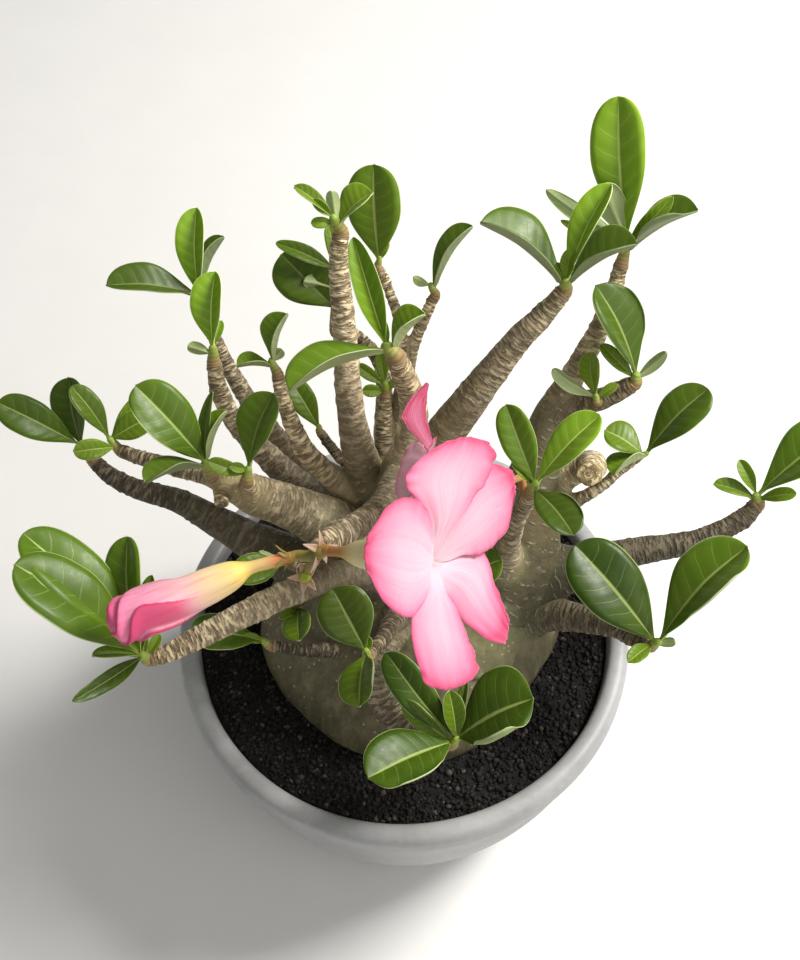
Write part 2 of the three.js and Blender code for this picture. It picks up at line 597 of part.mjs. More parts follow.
function branchSolid(waypoints) {
  const { centres, radii } = pathThrough(waypoints);
  const sides = waypoints[0][3] >= THICK_BRANCH ? THICK_BRANCH_SIDES : THIN_BRANCH_SIDES;
  return solidOf(tube(centres, radii, sides));
}

function caudexAndBranches() {
  const branches = Object.values(BRANCHES).map(branchSolid);
  return joined([solidOf(loft(caudexRings(0))), ...branches]);
}

// Tip point, end direction and end radius of a branch.
function branchEnd(name) {
  const waypoints = BRANCHES[name];
  const { centres, radii } = pathThrough(waypoints);
  const tip = centres[centres.length - 1];
  const direction = tip.clone().sub(centres[centres.length - 2]).normalize();
  return { tip, direction, radius: radii[radii.length - 1] };
}

// ---------------------------------------------------------------- leafy shoots

function shoot({ branch, top, leaves }) {
  const end = branchEnd(branch);
  const foot = end.tip.clone().addScaledVector(end.direction, FIT_GAP);
  const crown = vec(top);
  const axis = crown.clone().sub(foot);
  const over = crown.clone().addScaledVector(axis.clone().normalize(), SHOOT_OVERRUN);
  const radius = end.radius * SHOOT_FOOT_SHARE;
  const collar = foot.clone().addScaledVector(end.direction, COLLAR_LENGTH);
  const radii = [radius, radius, radius * SHOOT_TAPER];
  const stem = tube([foot, collar, over], radii, SHOOT_SIDES, end.direction);
  const solids = [solidOf(stem)];
  for (const [place, heading, rise, roll, length, width, fold] of leaves) {
    const root = foot.clone().addScaledVector(axis, Math.max(place, LOWEST_LEAF));
    const frame = bladeFrame(heading, rise, roll);
    const wide = Math.max(width, NARROWEST_BLADE);
    solids.push(solidOf(blade(root, frame, length, wide, fold)));
  }
  return joined(solids);
}

// ---------------------------------------------------------------- flowers

// A bloom's axis, and the directions across it that turns of 0 and 90 degrees point to.
function bloomFrame(bloom) {
  const axis = vec(bloom.throat).sub(vec(bloom.foot));
  const length = axis.length();
  axis.normalize();
  const over = vec(BLOOM_CREST);
  over.addScaledVector(axis, -over.dot(axis)).normalize();
  return { axis, length, toSide: over.clone().cross(axis), over };
}

// A body turned about a bloom's axis from [distance along the axis, radius] pairs.
function turned(bloom, frame, profile) {
  const rings = profile.map(([along, radius]) => {
    const ring = [];
    for (let j = 0; j < FLOWER_SIDES; j += 1) {
      const turn = (2 * Math.PI * j) / FLOWER_SIDES;
      const p = vec(bloom.foot).addScaledVector(frame.axis, along);
      p.addScaledVector(frame.toSide, radius * Math.cos(turn));
      ring.push(p.addScaledVector(frame.over, radius * Math.sin(turn)));
    }
    return ring;
  });
  return solidOf(loft(rings));
}

function bloomTube(bloom) {
  const frame = bloomFrame(bloom);
  const s = bloom.scale;
  const outside = TUBE_PROFILE.map(([share, r]) => [share * frame.length, r * s]);
  const hollow = [
    [frame.length, THROAT_RADIUS * s],
    [frame.length - THROAT_DEPTH * s, THROAT_BOTTOM_RADIUS * s],
  ];
  const body = turned(bloom, frame, [...outside, ...hollow]);
  if (!bloom.stalk) {
    return body;
  }
  const onward = vec(bloom.foot).addScaledVector(frame.axis, 1);
  const path = [vec(bloom.stalk), vec(bloom.foot), onward];
  const radii = path.map(() => TUBE_PROFILE[0][1] * s);
  return body.add(solidOf(tube(path, radii, SHOOT_SIDES)));
}

function petal(bloom, frame, [turn, flare, length, width, twist]) {
  const [a, f, w] = [turn, flare, twist].map(radians);
  const out = frame.toSide.clone().multiplyScalar(Math.cos(a));
  out.addScaledVector(frame.over, Math.sin(a));
  const forward = out.clone().multiplyScalar(Math.sin(f)).addScaledVector(frame.axis, Math.cos(f));
  const side = out.clone().cross(frame.axis);
  const lifted = side.clone().cross(forward);
  const right = side.clone().multiplyScalar(Math.cos(w)).addScaledVector(lifted, Math.sin(w));
  const up = right.clone().cross(forward);
  const root = vec(bloom.throat).addScaledVector(frame.axis, PETAL_FOOT_LIFT);
  root.addScaledVector(out, PETAL_FOOT_RADIUS * bloom.scale);
  const rows = PETAL_OUTLINE.map(([share, spread]) => {
    const middle = root.clone().addScaledVector(forward, length * share);
    middle.addScaledVector(up, PETAL_ARCH * length * share * (1 - share));
    const row = [];
    for (let j = 0; j < PETAL_COLUMNS; j += 1) {
      const across = (2 * j) / (PETAL_COLUMNS - 1) - 1;
      const lag = across > 0 ? PETAL_WAVE_LAG : 0;
      const wave = Math.sin(2 * Math.PI * PETAL_WAVES * share + lag);
      const height = PETAL_WAVE * bloom.scale * Math.min(1, PETAL_WAVE_ONSET * share);
      const p = middle.clone().addScaledVector(right, (across * spread * width) / 2);
      row.push(p.addScaledVector(up, height * wave * across * across));
    }
    return row;
  });
  return solidOf(sheet(rows, () => up.clone().multiplyScalar(-PETAL_THICKNESS)));
}

// The throat cup with the petals on its rim.
function bloomPetals(bloom) {
  const frame = bloomFrame(bloom);
  const mouth = frame.length + CUP_CLEARANCE;
  const cup = CUP_PROFILE.map(([along, r]) => [mouth + along * bloom.scale, r * bloom.scale]);
  const petals = bloom.petals.map((p) => petal(bloom, frame, p));
  return joined([turned(bloom, frame, cup), ...petals]);
}

function budParts() {
  const { centres, radii } = pathThrough(BUD_PATH);
  const cut = BUD_COLOUR_STEP;
  const tubeCentres = centres.slice(0, cut + 1);
  const back = centres[cut].clone().sub(centres[cut - 1]).normalize();
  const tipCentres = centres.slice(cut).map((p) => p.clone());
  tipCentres[0].addScaledVector(back, FIT_GAP);
  const plain = solidOf(tube(tubeCentres, radii.slice(0, cut + 1), BUD_SIDES));
  const tip = solidOf(tube(tipCentres, radii.slice(cut), BUD_SIDES, back));
  return { plain, tip };
}

// The star of pointed sepals around the spent calyx.
function sepalStar() {
  const axis = vec(SPENT_CALYX_FACING).normalize();
  const side = axis.clone().cross(new THREE.Vector3(0, 0, 1)).normalize();
  const over = axis.clone().cross(side);
  const foot = vec(SPENT_CALYX).addScaledVector(axis, -FIT_GAP - SEPAL_THICKNESS);
  const rings = [0, SEPAL_THICKNESS].map((along) => {
    const ring = [];
    for (let i = 0; i < 2 * SEPALS; i += 1) {
      const turn = (Math.PI * i) / SEPALS;
      const atPoint = i % 2 === 0;
      const reach = atPoint ? SEPAL_REACH : SEPAL_NOTCH;
      const p = foot.clone().addScaledVector(axis, along + (atPoint ? SEPAL_LIFT : 0));
      p.addScaledVector(side, reach * Math.cos(turn));
      ring.push(p.addScaledVector(over, reach * Math.sin(turn)));
    }
    return ring;
  });
  return solidOf(loft(rings));
}

// The short stalks of the bloom and the bud and the spent calyx, in one piece.
function flowerStalk() {
  const end = branchEnd("flowering");
  const foot = end.tip.clone().addScaledVector(end.direction, FIT_GAP);
  const head = end.tip.clone().addScaledVector(end.direction, STALK_HEAD_LENGTH);
  const headRadii = [STALK_FOOT_RADIUS, STALK_HEAD_RADIUS];
  const solids = [solidOf(tube([foot, head], headRadii, SHOOT_SIDES, end.direction))];
  const arms = [
    [vec(FRONT_BLOOM.foot), vec(FRONT_BLOOM.throat)],
    [vec(BUD_PATH[0]), vec(BUD_PATH[1])],
    [vec(SPENT_CALYX), vec(SPENT_CALYX).add(vec(SPENT_CALYX_FACING))],
  ];
  for (const [target, beyond] of arms) {
    const onward = beyond.clone().sub(target).normalize();
    const stop = target.clone().addScaledVector(onward, -FIT_GAP);
    const knee = target.clone().addScaledVector(onward, -FIT_GAP - KNEE_LENGTH);
    const start = head.clone().addScaledVector(knee.clone().sub(head).normalize(), -1);
    const path = [start, knee, stop];
    solids.push(solidOf(tube(path, path.map(() => STALK_RADIUS), SHOOT_SIDES)));
  }
  return joined([...solids, sepalStar()]);
}

// ---------------------------------------------------------------- assembly

const group = new THREE.Group();
group.add(meshOf("pot", pot(), "pot"));
group.add(meshOf("soil", soil(caudexPit()), "soil"));
group.add(meshOf("caudex_and_branches", caudexAndBranches(), "bark"));
for (const [name, spec] of Object.entries(SHOOTS)) {
  group.add(meshOf(`leaves_${name}`, shoot(spec), "leaf"));
}
group.add(meshOf("front_bloom_petals", bloomPetals(FRONT_BLOOM), "petal"));
group.add(meshOf("front_bloom_tube", bloomTube(FRONT_BLOOM), "tube"));
group.add(meshOf("back_bloom_petals", bloomPetals(BACK_BLOOM), "petal"));
group.add(meshOf("back_bloom_tube", bloomTube(BACK_BLOOM), "tube"));
const bud = budParts();
group.add(meshOf("bud_tube", bud.plain, "tube"));
group.add(meshOf("bud_tip", bud.tip, "petal"));
group.add(meshOf("flower_stalk", flowerStalk(), "stalk"));

export default group;
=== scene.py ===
"""A potted desert rose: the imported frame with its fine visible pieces, materials, light and camera.

Lengths in the tables are millimetres in the frame of the part: +Z up, -Y the front, origin in
the middle of the pot's underside. Meshes are made in metres.
"""

import math

import bpy
import numpy as np
from mathutils import Matrix, Quaternion, Vector


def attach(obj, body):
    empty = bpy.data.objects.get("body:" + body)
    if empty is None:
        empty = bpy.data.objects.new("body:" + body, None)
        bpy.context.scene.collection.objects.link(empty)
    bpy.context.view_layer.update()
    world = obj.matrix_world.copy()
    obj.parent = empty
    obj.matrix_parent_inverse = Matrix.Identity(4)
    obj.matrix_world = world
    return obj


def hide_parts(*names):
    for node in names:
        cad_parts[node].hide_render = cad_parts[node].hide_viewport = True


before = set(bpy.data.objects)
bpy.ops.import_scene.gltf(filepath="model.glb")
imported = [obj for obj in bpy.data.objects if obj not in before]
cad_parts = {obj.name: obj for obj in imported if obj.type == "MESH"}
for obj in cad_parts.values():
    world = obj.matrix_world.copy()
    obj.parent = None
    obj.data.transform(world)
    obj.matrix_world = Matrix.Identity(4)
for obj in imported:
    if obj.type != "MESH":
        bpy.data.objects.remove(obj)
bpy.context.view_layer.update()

MM = 0.001
TAU = 2 * math.pi


# ---------------------------------------------------------------- small numeric helpers


def arr(*values):
    return np.array(values, float)


def unit(v):
    v = np.asarray(v, float)
    return v / max(np.linalg.norm(v), 1e-12)


def smooth(low, high, x):
    t = np.clip((np.asarray(x, float) - low) / (high - low), 0, 1)
    return t * t * (3 - 2 * t)


def lerp(a, b, t):
    return a + (b - a) * t


def angles(sides):
    """Even angles around a ring."""
    return TAU * np.arange(sides) / sides


def run_along(path):
    """The way gone at each point of a path."""
    step = np.linalg.norm(np.diff(path, axis=0), axis=1)
    return np.concatenate([[0], np.cumsum(step)])


def hash01(*cells):
    """A repeatable value from 0 to 1 for each row of whole numbers."""
    h = np.full(np.shape(cells[0]), 2166136261, np.uint64)
    for cell in cells:
        c = np.asarray(cell).astype(np.int64).astype(np.uint64)
        h = (h ^ c) * np.uint64(16777619) & np.uint64(0xFFFFFFFF)
        h ^= h >> np.uint64(13)
        h = h * np.uint64(1274126177) & np.uint64(0xFFFFFFFF)
        h ^= h >> np.uint64(16)
    return (h & np.uint64(0xFFFFFF)).astype(float) / 0xFFFFFF


def noise3(points, size, seed=0):
    """Smooth noise from -1 to 1 with cells of the given size."""
    p = np.asarray(points, float) / size + 1000
    cell = np.floor(p).astype(np.int64)
    f = p - cell
    f = f * f * (3 - 2 * f)
    total = np.zeros(len(p))
    for corner in range(8):
        o = [(corner >> k) & 1 for k in range(3)]
        value = hash01(cell[:, 0] + o[0], cell[:, 1] + o[1], cell[:, 2] + o[2], np.full(len(p), seed))
        weight = np.ones(len(p))
        for k in range(3):
            weight *= f[:, k] if o[k] else 1 - f[:, k]
        total += value * weight
    return 2 * total - 1


def spline(points, per_span):
    """Uniform Catmull-Rom through rows of numbers; the ends run on straight."""
    p = np.asarray(points, float)
    p = np.vstack([2 * p[0] - p[1], p, 2 * p[-1] - p[-2]])
    rows = []
    for i in range(1, len(p) - 2):
        t = np.arange(per_span)[:, None] / per_span
        a, b, c, d = p[i - 1], p[i], p[i + 1], p[i + 2]
        rows.append(0.5 * (2 * b + (c - a) * t + (2 * a - 5 * b + 4 * c - d) * t**2
                           + (3 * b - a - 3 * c + d) * t**3))
    rows.append(p[-2][None])
    return np.vstack(rows)


# ---------------------------------------------------------------- mesh helpers


def linked(name, data):
    """A new object of the scene."""
    made = bpy.data.objects.new(name, data)
    bpy.context.scene.collection.objects.link(made)
    return made


def colour_points(mesh, name, rows):
    layer = mesh.attributes.new(name, "FLOAT_COLOR", "POINT")
    layer.data.foreach_set("color", rows.astype(np.float32).ravel())


class Build:
    """Collects the parts of one mesh: points in millimetres, faces, slots and point colours."""

    def __init__(self, *layers):
        self.points = []
        self.faces = []
        self.slots = []
        self.layers = {name: [] for name in layers}
        self.count = 0

    def add(self, points, faces, slot=0, **colours):
        points = np.asarray(points, float).reshape(-1, 3)
        n = len(points)
        self.points.append(points)
        self.faces.extend([tuple(i + self.count for i in f) for f in faces])
        self.slots.extend([slot] * len(faces))
        for name, rows in self.layers.items():
            value = np.zeros((n, 4))
            value[:] = colours.get(name, 0)
            rows.append(value)
        self.count += n

    def object(self, name, materials):
        points = np.vstack(self.points) * MM
        mesh = bpy.data.meshes.new(name)
        mesh.from_pydata(points.tolist(), [], self.faces)
        for material in materials:
            mesh.materials.append(material)
        mesh.polygons.foreach_set("material_index", self.slots)
        mesh.polygons.foreach_set("use_smooth", [True] * len(self.faces))
        for layer, rows in self.layers.items():
            colour_points(mesh, layer, np.vstack(rows))
        mesh.validate()
        mesh.update()
        return linked(name, mesh)


def grid_faces(rows, columns, start=0, wrap=False, flip=False):
    faces = []
    for i in range(rows - 1):
        for j in range(columns if wrap else columns - 1):
            a = start + i * columns + j
            b = start + i * columns + (j + 1) % columns
            quad = (a, b, b + columns, a + columns)
            faces.append(quad[::-1] if flip else quad)
    return faces


def normals_of(grid):
    """Unit normals of a grid of points: across its columns cross along its rows."""
    along = np.gradient(grid, axis=0)
    across = np.gradient(grid, axis=1)
    n = np.cross(across, along)
    return n / np.maximum(np.linalg.norm(n, axis=2, keepdims=True), 1e-9)


def sheet(top, up, thick, columns=slice(None)):
    """A closed sheet with the grid `top` as the face that looks up: its points, faces and the
    mean normal of the given columns."""
    normal = normals_of(top)
    mean = normal[:, columns].mean((0, 1))
    flip = np.sign(mean.dot(up)) or 1.0
    m, n = top.shape[:2]
    layer = m * n
    points = np.vstack([top.reshape(-1, 3), (top - normal * flip * thick).reshape(-1, 3)])
    faces = grid_faces(m, n) + grid_faces(m, n, layer, flip=True)
    ring = [(0, j) for j in range(n)] + [(i, n - 1) for i in range(1, m)]
    ring += [(m - 1, j) for j in range(n - 2, -1, -1)] + [(i, 0) for i in range(m - 2, 0, -1)]
    ring = [i * n + j for i, j in ring]
    for a, b in zip(ring, ring[1:] + ring[:1]):
        faces.append((b, a, a + layer, b + layer))
    if flip < 0:
        faces = [face[::-1] for face in faces]
    return points, faces, mean * flip


def frames_along(path):
    """Tangents and two directions across a path, carried along it without twist."""
    path = np.asarray(path, float)
    tangent = np.gradient(path, axis=0)
    tangent /= np.linalg.norm(tangent, axis=1, keepdims=True)
    across = np.zeros_like(path)
    current = arr(1, 0, 0) if abs(tangent[0][2]) > 0.9 else arr(0, 0, 1)
    for i, t in enumerate(tangent):
        current = unit(current - t * current.dot(t))
        across[i] = current
    return tangent, across, np.cross(tangent, across)


def tube_points(path, radii, sides):
    """Rings around a path; radii is one value a ring, or one for each ring and side."""
    _, across, third = frames_along(path)
    turn = angles(sides)
    radii = np.asarray(radii, float)
    if radii.ndim == 1:
        radii = radii[:, None] * np.ones(sides)
    ring = (across[:, None] * np.cos(turn)[None, :, None]
            + third[:, None] * np.sin(turn)[None, :, None])
    return np.asarray(path)[:, None] + ring * radii[:, :, None]


def capped(rings):
    """Points and faces of a closed body through rings, with a centre point at each end."""
    m, n = rings.shape[:2]
    points = np.vstack([rings.reshape(-1, 3), rings[0].mean(0), rings[-1].mean(0)])
    faces = grid_faces(m, n, wrap=True)
    for j in range(n):
        k = (j + 1) % n
        faces.append((k, j, m * n))
        faces.append(((m - 1) * n + j, (m - 1) * n + k, m * n + 1))
    return points, faces


def place(piece, slot, *nodes):
    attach(piece, "root")
    if nodes:
        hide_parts(*nodes)
    return piece


# ---------------------------------------------------------------- materials


class Shader:
    """A material's node tree with short calls for the nodes used here."""

    def __init__(self, name):
        self.material = bpy.data.materials.new(name)
        self.material.use_nodes = True
        self.tree = self.material.node_tree
        self.bsdf = self.tree.nodes["Principled BSDF"]

    def node(self, kind, **values):
        made = self.tree.nodes.new(kind)
        for key, value in values.items():
            setattr(made, key, value)
        return made

    def put(self, target, value):
        """Wire another socket to this one, or give it a plain value."""
        if isinstance(value, bpy.types.NodeSocket):
            self.tree.links.new(value, target)
        elif isinstance(value, tuple) and len(value) == 3 and target.type == "RGBA":
            target.default_value = (*value, 1)
        else:
            target.default_value = value

    def feed(self, made, *values):
        """Fill a node's first inputs and return its first output."""
        for target, value in zip(made.inputs, values):
            self.put(target, value)
        return made.outputs[0]

    def named(self, made, **values):
        """Fill inputs by name, with _ for a space."""
        for name, value in values.items():
            self.put(made.inputs[name.replace("_", " ")], value)
        return made

    def math(self, operation, *values):
        return self.feed(self.node("ShaderNodeMath", operation=operation), *values)

    def times(self, a, b):
        return self.math("MULTIPLY", a, b)

    def plus(self, a, b):
        return self.math("ADD", a, b)

    def minus(self, a, b):
        return self.math("SUBTRACT", a, b)

    def shifted(self, value, noise, amount):
        """A value moved by noise, at most by half of the amount either way."""
        return self.plus(value, self.times(self.minus(noise, 0.5), amount))

    def off_line(self, value):
        """Distance from evenly spaced lines, one at each whole number and a half."""
        return self.math("ABSOLUTE", self.minus(self.math("FRACT", value), 0.5))

    def mix(self, factor, a, b, blend="MIX"):
        made = self.node("ShaderNodeMix", data_type="RGBA", blend_type=blend, clamp_result=True)
        for index, value in ((0, factor), (6, a), (7, b)):
            self.put(made.inputs[index], value)
        return made.outputs[2]

    def coats(self, base, *rows):
        """Lay colours over a base in turn; a row is (mask, its share, colour)."""
        for mask, share, colour in rows:
            base = self.mix(mask if share == 1 else self.times(mask, share), base, colour)
        return base

    def ramp(self, value, *stops):
        made = self.node("ShaderNodeValToRGB")
        elements = made.color_ramp.elements
        while len(elements) < len(stops):
            elements.new(0.5)
        for element, (at, colour) in zip(elements, stops):
            element.position = at
            element.color = (*colour, 1)
        return self.feed(made, value)

    def band(self, value, low, high, a=0.0, b=1.0):
        """Smooth step of a value from a to b between low and high."""
        made = self.node("ShaderNodeMapRange", interpolation_type="SMOOTHSTEP")
        return self.feed(made, value, low, high, a, b)

    def position(self):
        return self.node("ShaderNodeTexCoord").outputs["Object"]

    def noise(self, scale, detail=4.0, roughness=0.55, vector=None, distortion=0.0, w=None, kind="3D"):
        made = self.node("ShaderNodeTexNoise", noise_dimensions=kind if w is None else "4D")
        self.named(made, Scale=scale, Detail=detail, Roughness=roughness, Distortion=distortion,
                   Vector=vector or self.position())
        if w is not None:
            self.named(made, W=w)
        return made.outputs["Fac"]

    def strands(self, across, along):
        """Fine lines along a petal or tube, from its two coordinates."""
        flat = self.feed(self.node("ShaderNodeCombineXYZ"), across, along)
        return self.noise(1.0, 3.0, 0.5, flat, kind="2D")

    def dots(self, scale):
        """Distance from scattered points."""
        made = self.named(self.node("ShaderNodeTexVoronoi"), Scale=scale, Vector=self.position())
        return made.outputs["Distance"]

    def attribute(self, name):
        """Red, green, blue and alpha of a point colour."""
        made = self.node("ShaderNodeAttribute", attribute_name=name)
        split = self.node("ShaderNodeSeparateColor")
        self.feed(split, made.outputs["Color"])
        return (*split.outputs, made.outputs["Alpha"])

    def bump(self, height, strength, distance, after=None):
        made = self.named(self.node("ShaderNodeBump"), Height=height, Strength=strength, Distance=distance)
        if after is not None:
            self.named(made, Normal=after)
        return made.outputs[0]

    def glow(self, weight, radius):
        """Let light through thin flesh; the radius is in metres for red, green and blue."""
        self.named(self.bsdf, Subsurface_Weight=weight, Subsurface_Radius=radius, Subsurface_Scale=1.0)

    def dress(self, colour, roughness, normal=None, specular=0.5):
        self.named(self.bsdf, Base_Color=colour, Roughness=roughness)
        self.bsdf.inputs["Specular IOR Level"].default_value = specular
        if normal is not None:
            self.named(self.bsdf, Normal=normal)
        return self.material


def pot_material():
    """Matt grey clay; red of the pot's point colour layer is painted shade in the groove under the lip."""
    s = Shader("pot_clay")
    painted_groove_shade, _, _, _ = s.attribute("ledge")
    cloud = s.noise(9, 5, 0.6)
    fine = s.noise(240, 4, 0.6)
    wash = s.noise(26, 6, 0.7, distortion=0.6)
    clay = s.ramp(cloud, (0.3, (0.27, 0.275, 0.28)), (0.55, (0.37, 0.375, 0.38)), (0.8, (0.46, 0.465, 0.465)))
    clay = s.coats(
        clay,
        (s.band(wash, 0.45, 0.75), 0.4, (0.55, 0.555, 0.55)),
        (s.band(fine, 0.35, 0.75), 0.3, (0.24, 0.24, 0.245)),
        (s.band(s.dots(420), 0.0, 0.16, 0.3, 0.0), 1, (0.18, 0.18, 0.19)),
        # painted shade in the groove under the lip
        (painted_groove_shade, 0.75, (0.09, 0.09, 0.09)))
    normal = s.bump(fine, 0.35, 0.0004, s.bump(cloud, 0.3, 0.0015))
    return s.dress(clay, s.band(cloud, 0.3, 0.7, 0.36, 0.5), normal)


def soil_material():
    """Dark granules; red of `tint` differs from one to the next."""
    s = Shader("soil_granules")
    tint, _, _, _ = s.attribute("tint")
    fine = s.noise(900, 4, 0.7)
    earth = s.ramp(tint, (0.0, (0.0035, 0.003, 0.0028)), (0.55, (0.013, 0.0115, 0.0105)),
                   (0.85, (0.032, 0.027, 0.024)), (1.0, (0.085, 0.072, 0.06)))
    earth = s.coats(earth, (s.band(fine, 0.4, 0.8), 0.5, (0.004, 0.003, 0.0025)))
    return s.dress(earth, s.band(fine, 0.3, 0.7, 0.75, 0.95), s.bump(fine, 0.8, 0.0004), 0.25)


WORM_SCALE = 270.0  # the texture's scale, which Blender also applies to W
WORM_STEP = 1.7     # how far the worms change from one fine ring to the next


def bark_material():
    """Bark. In `bark` red is the ridge height, green how young, blue how smooth, alpha the scars;
    in `rings` red runs on by one at each fine ring, green is how strong the rings are, blue olive
    in the forks, alpha the rows of dashes; red of `shade` is how light the wood is, 1 in the mean,
    the wood's own tone together with painted light and painted shade given branch by branch."""
    s = Shader("bark")
    ridge, youth, trunk, scar = s.attribute("bark")
    ring_at, ringed, olive, rows = s.attribute("rings")
    light, _, _, _ = s.attribute("shade")
    patch = s.noise(30, 5, 0.6)
    fine = s.noise(420, 5, 0.7)
    stretched = s.named(s.node("ShaderNodeMapping"), Vector=s.position(), Scale=(1, 1, 0.2))
    streak = s.noise(170, 5, 0.65, stretched.outputs[0])
    # worm-like crescents: noise that changes quickly along the branch and slowly around it
    worms = s.noise(WORM_SCALE, 2.5, 0.5, w=s.times(ring_at, WORM_STEP / WORM_SCALE))
    crest = s.times(s.band(worms, 0.50, 0.58), ringed)
    # groove: painted shade in the hollow beside each crest
    groove = s.times(s.band(worms, 0.48, 0.38), ringed)
    # older wood carries rows of small pale dashes instead
    dash = s.times(s.band(s.off_line(rows), 0.02, 0.2, 1.0, 0.0), s.band(s.noise(430, 2, 0.5), 0.5, 0.6))
    dash = s.times(dash, s.band(ringed, 0.15, 0.7, 1.0, 0.25))
    line = s.times(s.band(ridge, 0.25, 0.9), s.band(fine, 0.25, 0.6, 0.3, 1.0))
    line = s.times(line, s.minus(1.0, s.times(trunk, 0.5)))
    pale = s.times(s.band(s.dots(300), 0.05, 0.22, 1.0, 0.0), s.band(patch, 0.4, 0.6, 0.35, 1.0))

    limb = s.ramp(patch, (0.3, (0.19, 0.148, 0.1)), (0.5, (0.29, 0.235, 0.16)), (0.72, (0.40, 0.33, 0.23)))
    old = s.ramp(streak, (0.3, (0.075, 0.066, 0.038)), (0.5, (0.135, 0.12, 0.072)),
                 (0.72, (0.24, 0.215, 0.135)))
    old = s.coats(old, (s.band(patch, 0.4, 0.75), 0.5, (0.19, 0.172, 0.10)))
    young = s.mix(s.band(patch, 0.35, 0.7), (0.34, 0.22, 0.10), (0.30, 0.25, 0.10))
    skin = s.coats(
        limb,
        (trunk, 1, old),
        (olive, 0.6, (0.17, 0.165, 0.075)),
        (youth, 0.75, young),
        (s.band(fine, 0.45, 0.75), 0.4, (0.07, 0.058, 0.042)),
        # painted shade beside each crest
        (groove, 0.7, (0.085, 0.058, 0.04)),
        (crest, 0.75, (0.70, 0.59, 0.42)),
        (dash, 0.6, (0.58, 0.52, 0.38)),
        (line, 0.75, (0.60, 0.53, 0.42)),
        (pale, 0.75, (0.60, 0.57, 0.44)),
        (scar, 0.5, (0.66, 0.57, 0.44)))
    # times the branch's tone, which carries painted light and painted shade, then warmed
    skin = s.mix(1.0, s.mix(1.0, skin, light, "MULTIPLY"), (1.0, 0.985, 0.89), "MULTIPLY")
    relief = s.plus(s.minus(crest, groove), s.times(dash, 0.4))
    coarse = s.bump(relief, 0.9, 0.0009, s.bump(streak, 0.5, 0.0008))
    return s.dress(skin, s.band(fine, 0.3, 0.7, 0.55, 0.8), s.bump(fine, 0.5, 0.0003, coarse), 0.4)


def leaf_material():
    """Leaf. In `leaf` red runs across, green along, blue differs by leaf, alpha is 1 beneath;
    in `kind` red is how young the leaf is, green how pale it is by its height and its turn from
    the window, painted light and shade as well as leaf age, blue the painted light and shade
    given leaf by leaf."""
    s = Shader("leaf")
    across, along, chance, under = s.attribute("leaf")
    young, height, light, _ = s.attribute("kind")
    off = s.math("ABSOLUTE", s.minus(s.times(across, 2.0), 1.0))
    fine = s.noise(420, 4, 0.6)
    cloud = s.noise(70, 4, 0.55)
    # side veins leave the midrib and bend towards the tip
    slant = s.times(s.math("POWER", off, 1.3), 0.15)
    start = s.shifted(s.minus(along, slant), cloud, 0.09)
    side = s.times(s.math("GREATER_THAN", across, 0.5), 0.43)
    away = s.off_line(s.plus(s.times(start, 7.5), side))
    vein = s.times(s.band(away, 0.0, 0.055, 1.0, 0.0), s.band(off, 0.55, 0.92, 1.0, 0.0))
    vein = s.times(vein, s.band(along, 0.86, 0.96, 1.0, 0.0))
    rib_width = s.minus(0.10, s.times(along, 0.07))
    rib = s.times(s.band(s.math("DIVIDE", off, rib_width), 0.45, 1.1, 1.0, 0.0),
                  s.band(along, 0.9, 1.0, 1.0, 0.3))
    margin = s.band(off, 0.962, 0.985)
    between = s.band(away, 0.05, 0.5)

    # painted light and shade from the leaf's height and its turn from the window, with some chance
    shade = s.plus(s.times(height, 0.6), s.times(chance, 0.4))
    top = s.coats(
        s.mix(shade, (0.026, 0.062, 0.001), (0.15, 0.26, 0.012)),
        (young, 1, (0.20, 0.31, 0.012)),
        (s.band(cloud, 0.35, 0.7), 0.3, (0.14, 0.22, 0.014)),
        (between, 0.14, (0.04, 0.10, 0.004)),
        (vein, 0.24, (0.34, 0.46, 0.18)),
        (rib, 0.72, (0.42, 0.52, 0.15)),
        (margin, 0.8, (0.50, 0.60, 0.25)))
    below = s.coats(
        s.mix(chance, (0.30, 0.39, 0.15), (0.40, 0.47, 0.23)),
        (vein, 0.2, (0.50, 0.56, 0.32)),
        (rib, 0.7, (0.50, 0.57, 0.28)),
        (margin, 0.6, (0.60, 0.66, 0.38)))
    leaf = s.coats(top, (under, 1, below), (s.band(along, 0.0, 0.12, 1.0, 0.0), 0.75, (0.33, 0.43, 0.05)))
    s.glow(0.1, (0.0008, 0.0014, 0.0003))
    relief = s.minus(s.minus(s.times(between, 0.5), s.times(vein, 0.3)), rib)
    normal = s.bump(fine, 0.08, 0.0002, s.bump(cloud, 0.18, 0.0008, s.bump(relief, 0.2, 0.0005)))
    gloss = s.mix(under, s.band(fine, 0.3, 0.7, 0.34, 0.44), (0.6, 0.6, 0.6))
    # times the painted light and shade given leaf by leaf
    return s.dress(s.mix(1.0, leaf, light, "MULTIPLY"), gloss, normal, 0.3)


def shoot_material():
    """Shoot tip: red runs from its foot to its top, green is the ring pattern."""
    s = Shader("shoot")
    along, ring, _, _ = s.attribute("leaf")
    fine = s.noise(500, 4, 0.65)
    skin = s.ramp(s.shifted(along, s.noise(260, 4, 0.6), 0.3),
                  (0.0, (0.27, 0.19, 0.12)), (0.3, (0.34, 0.21, 0.09)), (0.5, (0.34, 0.29, 0.08)),
                  (0.68, (0.32, 0.40, 0.07)), (1.0, (0.27, 0.42, 0.05)))
    skin = s.coats(skin, (ring, 0.8, (0.10, 0.06, 0.03)), (s.band(fine, 0.45, 0.8), 0.4, (0.10, 0.08, 0.03)))
    s.glow(0.06, (0.001, 0.001, 0.0004))
    return s.dress(skin, s.band(fine, 0.3, 0.7, 0.45, 0.65), s.bump(fine, 0.4, 0.0003))


